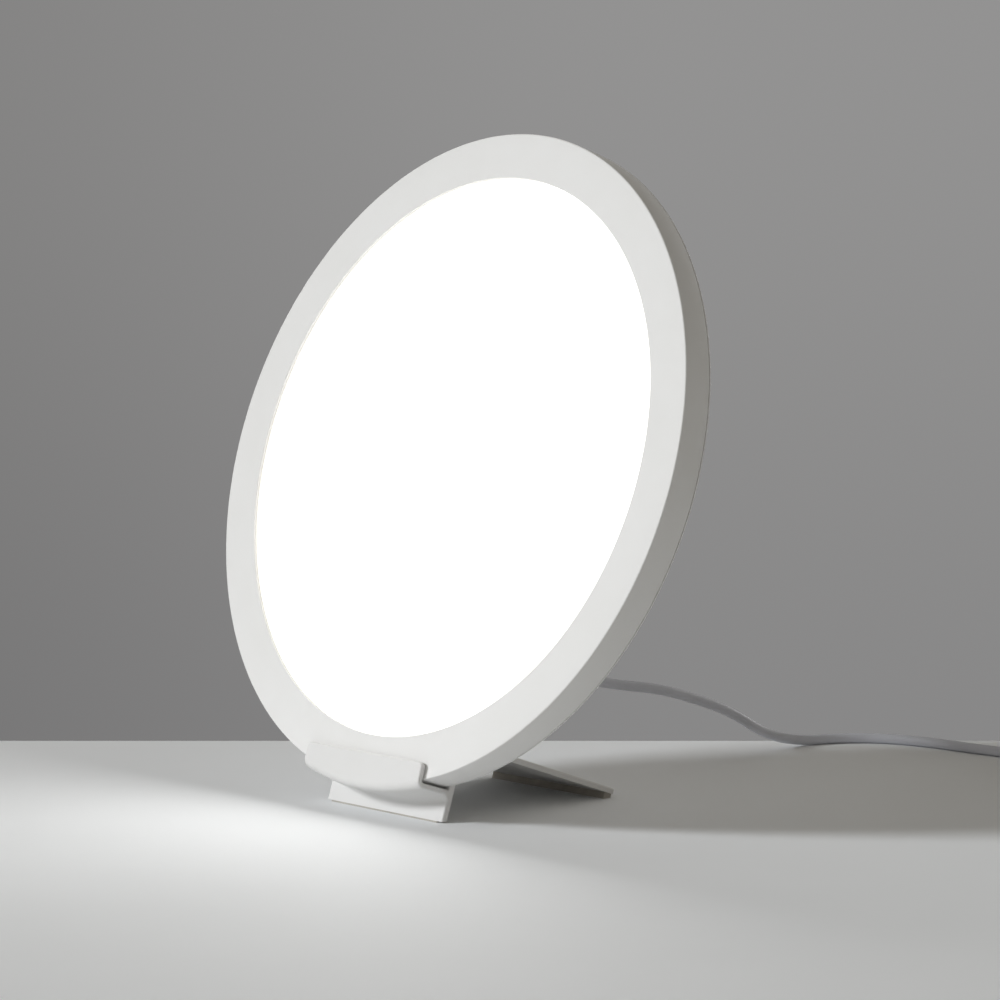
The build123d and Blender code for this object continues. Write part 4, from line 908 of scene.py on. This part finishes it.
grip = grown("plug_grip", grip_tree, {
    "Count": 6, "Pitch": 0.0028, "First Rib": 0.0275, "Length": 0.014,
    "Radius": 0.0006, "Height": 0.0060, "Material": sheath,
})
closed_up(grip, plug_place, 40)
stands_for(plug, "grey_sheath", "head", "plug_body")
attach(grip, "head")
nickel = finish("nickel_pin", (0.72, 0.70, 0.66), (0.62, 0.60, 0.56), (0.18, 0.3), 400, (2000, 0.000006), 1.0)
dress("plug_pins", nickel)
dress("pin_sleeves", finish("black_sleeve", (0.05, 0.05, 0.05), (0.03, 0.03, 0.03), (0.4, 0.5), 300))

# ---------------------------------------------------------------------------------------
# Stand: one white ABS moulding: lip, cradle floor, front leg, rear arm and two ribs between
# them. The head drops into it on two soft pads, and it stands on a strip and a wedge of the same.
# The stand's colour is a darker copy of the head's white: painted shade on the same white ABS.
stand_white_painted_shade = finish("stand_moulding_painted_shade", (0.755, 0.75, 0.742), (0.73, 0.725, 0.713), **satin)
cradle = eased_copy("cradle_stand", "stand", stand_white_painted_shade, 0.0003)
stands_for(cradle, "white_moulding", "stand", "stand")
soft = finish("soft_pad", (0.46, 0.43, 0.385), (0.38, 0.355, 0.32), (0.7, 0.85), 100, (2000, 0.00003))
for node in ("seat_pads", "front_foot", "rear_foot"):
    dress(node, soft)

# ---------------------------------------------------------------------------------------
# Studio: a pale satin floor, a grey wall that only the camera sees, one broad light from
# the front left and a weak one from behind.
reach = 5
floor_mesh = bpy.data.meshes.new("studio_floor")
floor_corners = [(-reach, -reach, 0), (reach, -reach, 0), (reach, reach, 0), (-reach, reach, 0)]
floor_mesh.from_pydata(floor_corners, [], [(0, 1, 2, 3)])
floor = bpy.data.objects.new("studio_floor", floor_mesh)
collection.objects.link(floor)
floor_paint = finish(
    "floor_paint", (0.875, 0.89, 0.905), (0.855, 0.87, 0.885), (0.68, 0.76), 6, (900, 0.000004), shine=0.2
)
floor_mesh.materials.append(floor_paint)

camera_place = Vector((1.436, -1.2167, 0.3208))
looking = Vector((-0.7526, 0.6532, -0.0830)).normalized()
camera_data = bpy.data.cameras.new("camera")
camera_data.lens = 126
camera_data.sensor_width = 36
camera_data.clip_start = 0.05
camera = bpy.data.objects.new("camera", camera_data)
camera.location = camera_place
camera.rotation_euler = looking.to_track_quat("-Z", "Y").to_euler()
collection.objects.link(camera)
bpy.context.scene.camera = camera

wall_distance, wall_half, wall_high = 2.097, 4, 3
level_look = Vector((looking.x, looking.y, 0)).normalized()
sideways = Vector((level_look.y, -level_look.x, 0))
wall_foot = Vector((camera_place.x, camera_place.y, 0)) + level_look * wall_distance
wall_mesh = bpy.data.meshes.new("studio_wall")
wall_sides = ((-wall_half, 0), (wall_half, 0), (wall_half, wall_high), (-wall_half, wall_high))
corners = [tuple(wall_foot + sideways * side + Vector((0, 0, high))) for side, high in wall_sides]
wall_mesh.from_pydata(corners, [], [(0, 1, 2, 3)])
wall = bpy.data.objects.new("studio_wall", wall_mesh)
collection.objects.link(wall)
wall_painted_light = bpy.data.materials.new("wall_painted_light")
wall_painted_light.use_nodes = True
tree = wall_painted_light.node_tree
tree.nodes.remove(tree.nodes["Principled BSDF"])
place = add_node(tree, "ShaderNodeTexCoord").outputs["Object"]
along = add_node(tree, "ShaderNodeVectorMath", {0: place, 1: tuple(sideways)}, operation="DOT_PRODUCT")
across = calc(tree, "SUBTRACT", along.outputs["Value"], wall_foot.dot(sideways))
height = add_node(tree, "ShaderNodeSeparateXYZ", {0: place}).outputs[2]
# The wall's glow is painted light: darker to the left and near the floor, lighter to the right and higher up.
wall_light_across, wall_light_up = ramp(tree, across, -0.42, 0.12), ramp(tree, height, -0.05, 0.46)
low = mixed(tree, wall_light_across, (0.182, 0.180, 0.180), (0.246, 0.244, 0.244))
high = mixed(tree, wall_light_across, (0.228, 0.225, 0.223), (0.292, 0.289, 0.288))
glow = add_node(tree, "ShaderNodeEmission", {"Color": mixed(tree, wall_light_up, low, high)})
clear = tree.nodes.new("ShaderNodeBsdfTransparent")
camera_ray = tree.nodes.new("ShaderNodeLightPath").outputs["Is Camera Ray"]
behind = tree.nodes.new("ShaderNodeNewGeometry").outputs["Backfacing"]
seen = made(tree, "ShaderNodeMath", {0: camera_ray, 1: behind}, operation="SUBTRACT", use_clamp=True)
choose = add_node(tree, "ShaderNodeMixShader", {0: seen, 1: clear.outputs[0], 2: glow.outputs[0]})
tree.links.new(choose.outputs[0], tree.nodes["Material Output"].inputs["Surface"])
wall_mesh.materials.append(wall_painted_light)

key_data = bpy.data.lights.new("key", "SUN")
key_data.energy = 2.06
key_data.angle = math.radians(12)
key_data.color = (0.957, 0.978, 1.0)
key = bpy.data.objects.new("key", key_data)
key_from, fill_from = Vector((-0.505, -0.865, 0.487)), Vector((-0.30, 0.95, 0.03))
key.rotation_euler = key_from.to_track_quat("Z", "Y").to_euler()
collection.objects.link(key)
fill_data = bpy.data.lights.new("back_fill", "SUN")
fill_data.energy = 0.9
fill_data.angle = math.radians(25)
fill = bpy.data.objects.new("back_fill", fill_data)
fill.rotation_euler = fill_from.to_track_quat("Z", "Y").to_euler()
collection.objects.link(fill)

world = bpy.data.worlds.new("studio_air")
world.use_nodes = True
tree = world.node_tree
rays = tree.nodes.new("ShaderNodeLightPath").outputs
mirrored = calc(tree, "MAXIMUM", rays["Is Glossy Ray"], rays["Is Transmission Ray"])
seen = calc(tree, "MAXIMUM", rays["Is Camera Ray"], mirrored)
backdrop = mixed(tree, seen, (0.229, 0.216, 0.192), (0.285, 0.283, 0.283))
tree.links.new(backdrop, tree.nodes["Background"].inputs["Color"])
bpy.context.scene.world = world
bpy.context.scene.view_settings.view_transform = "Standard"
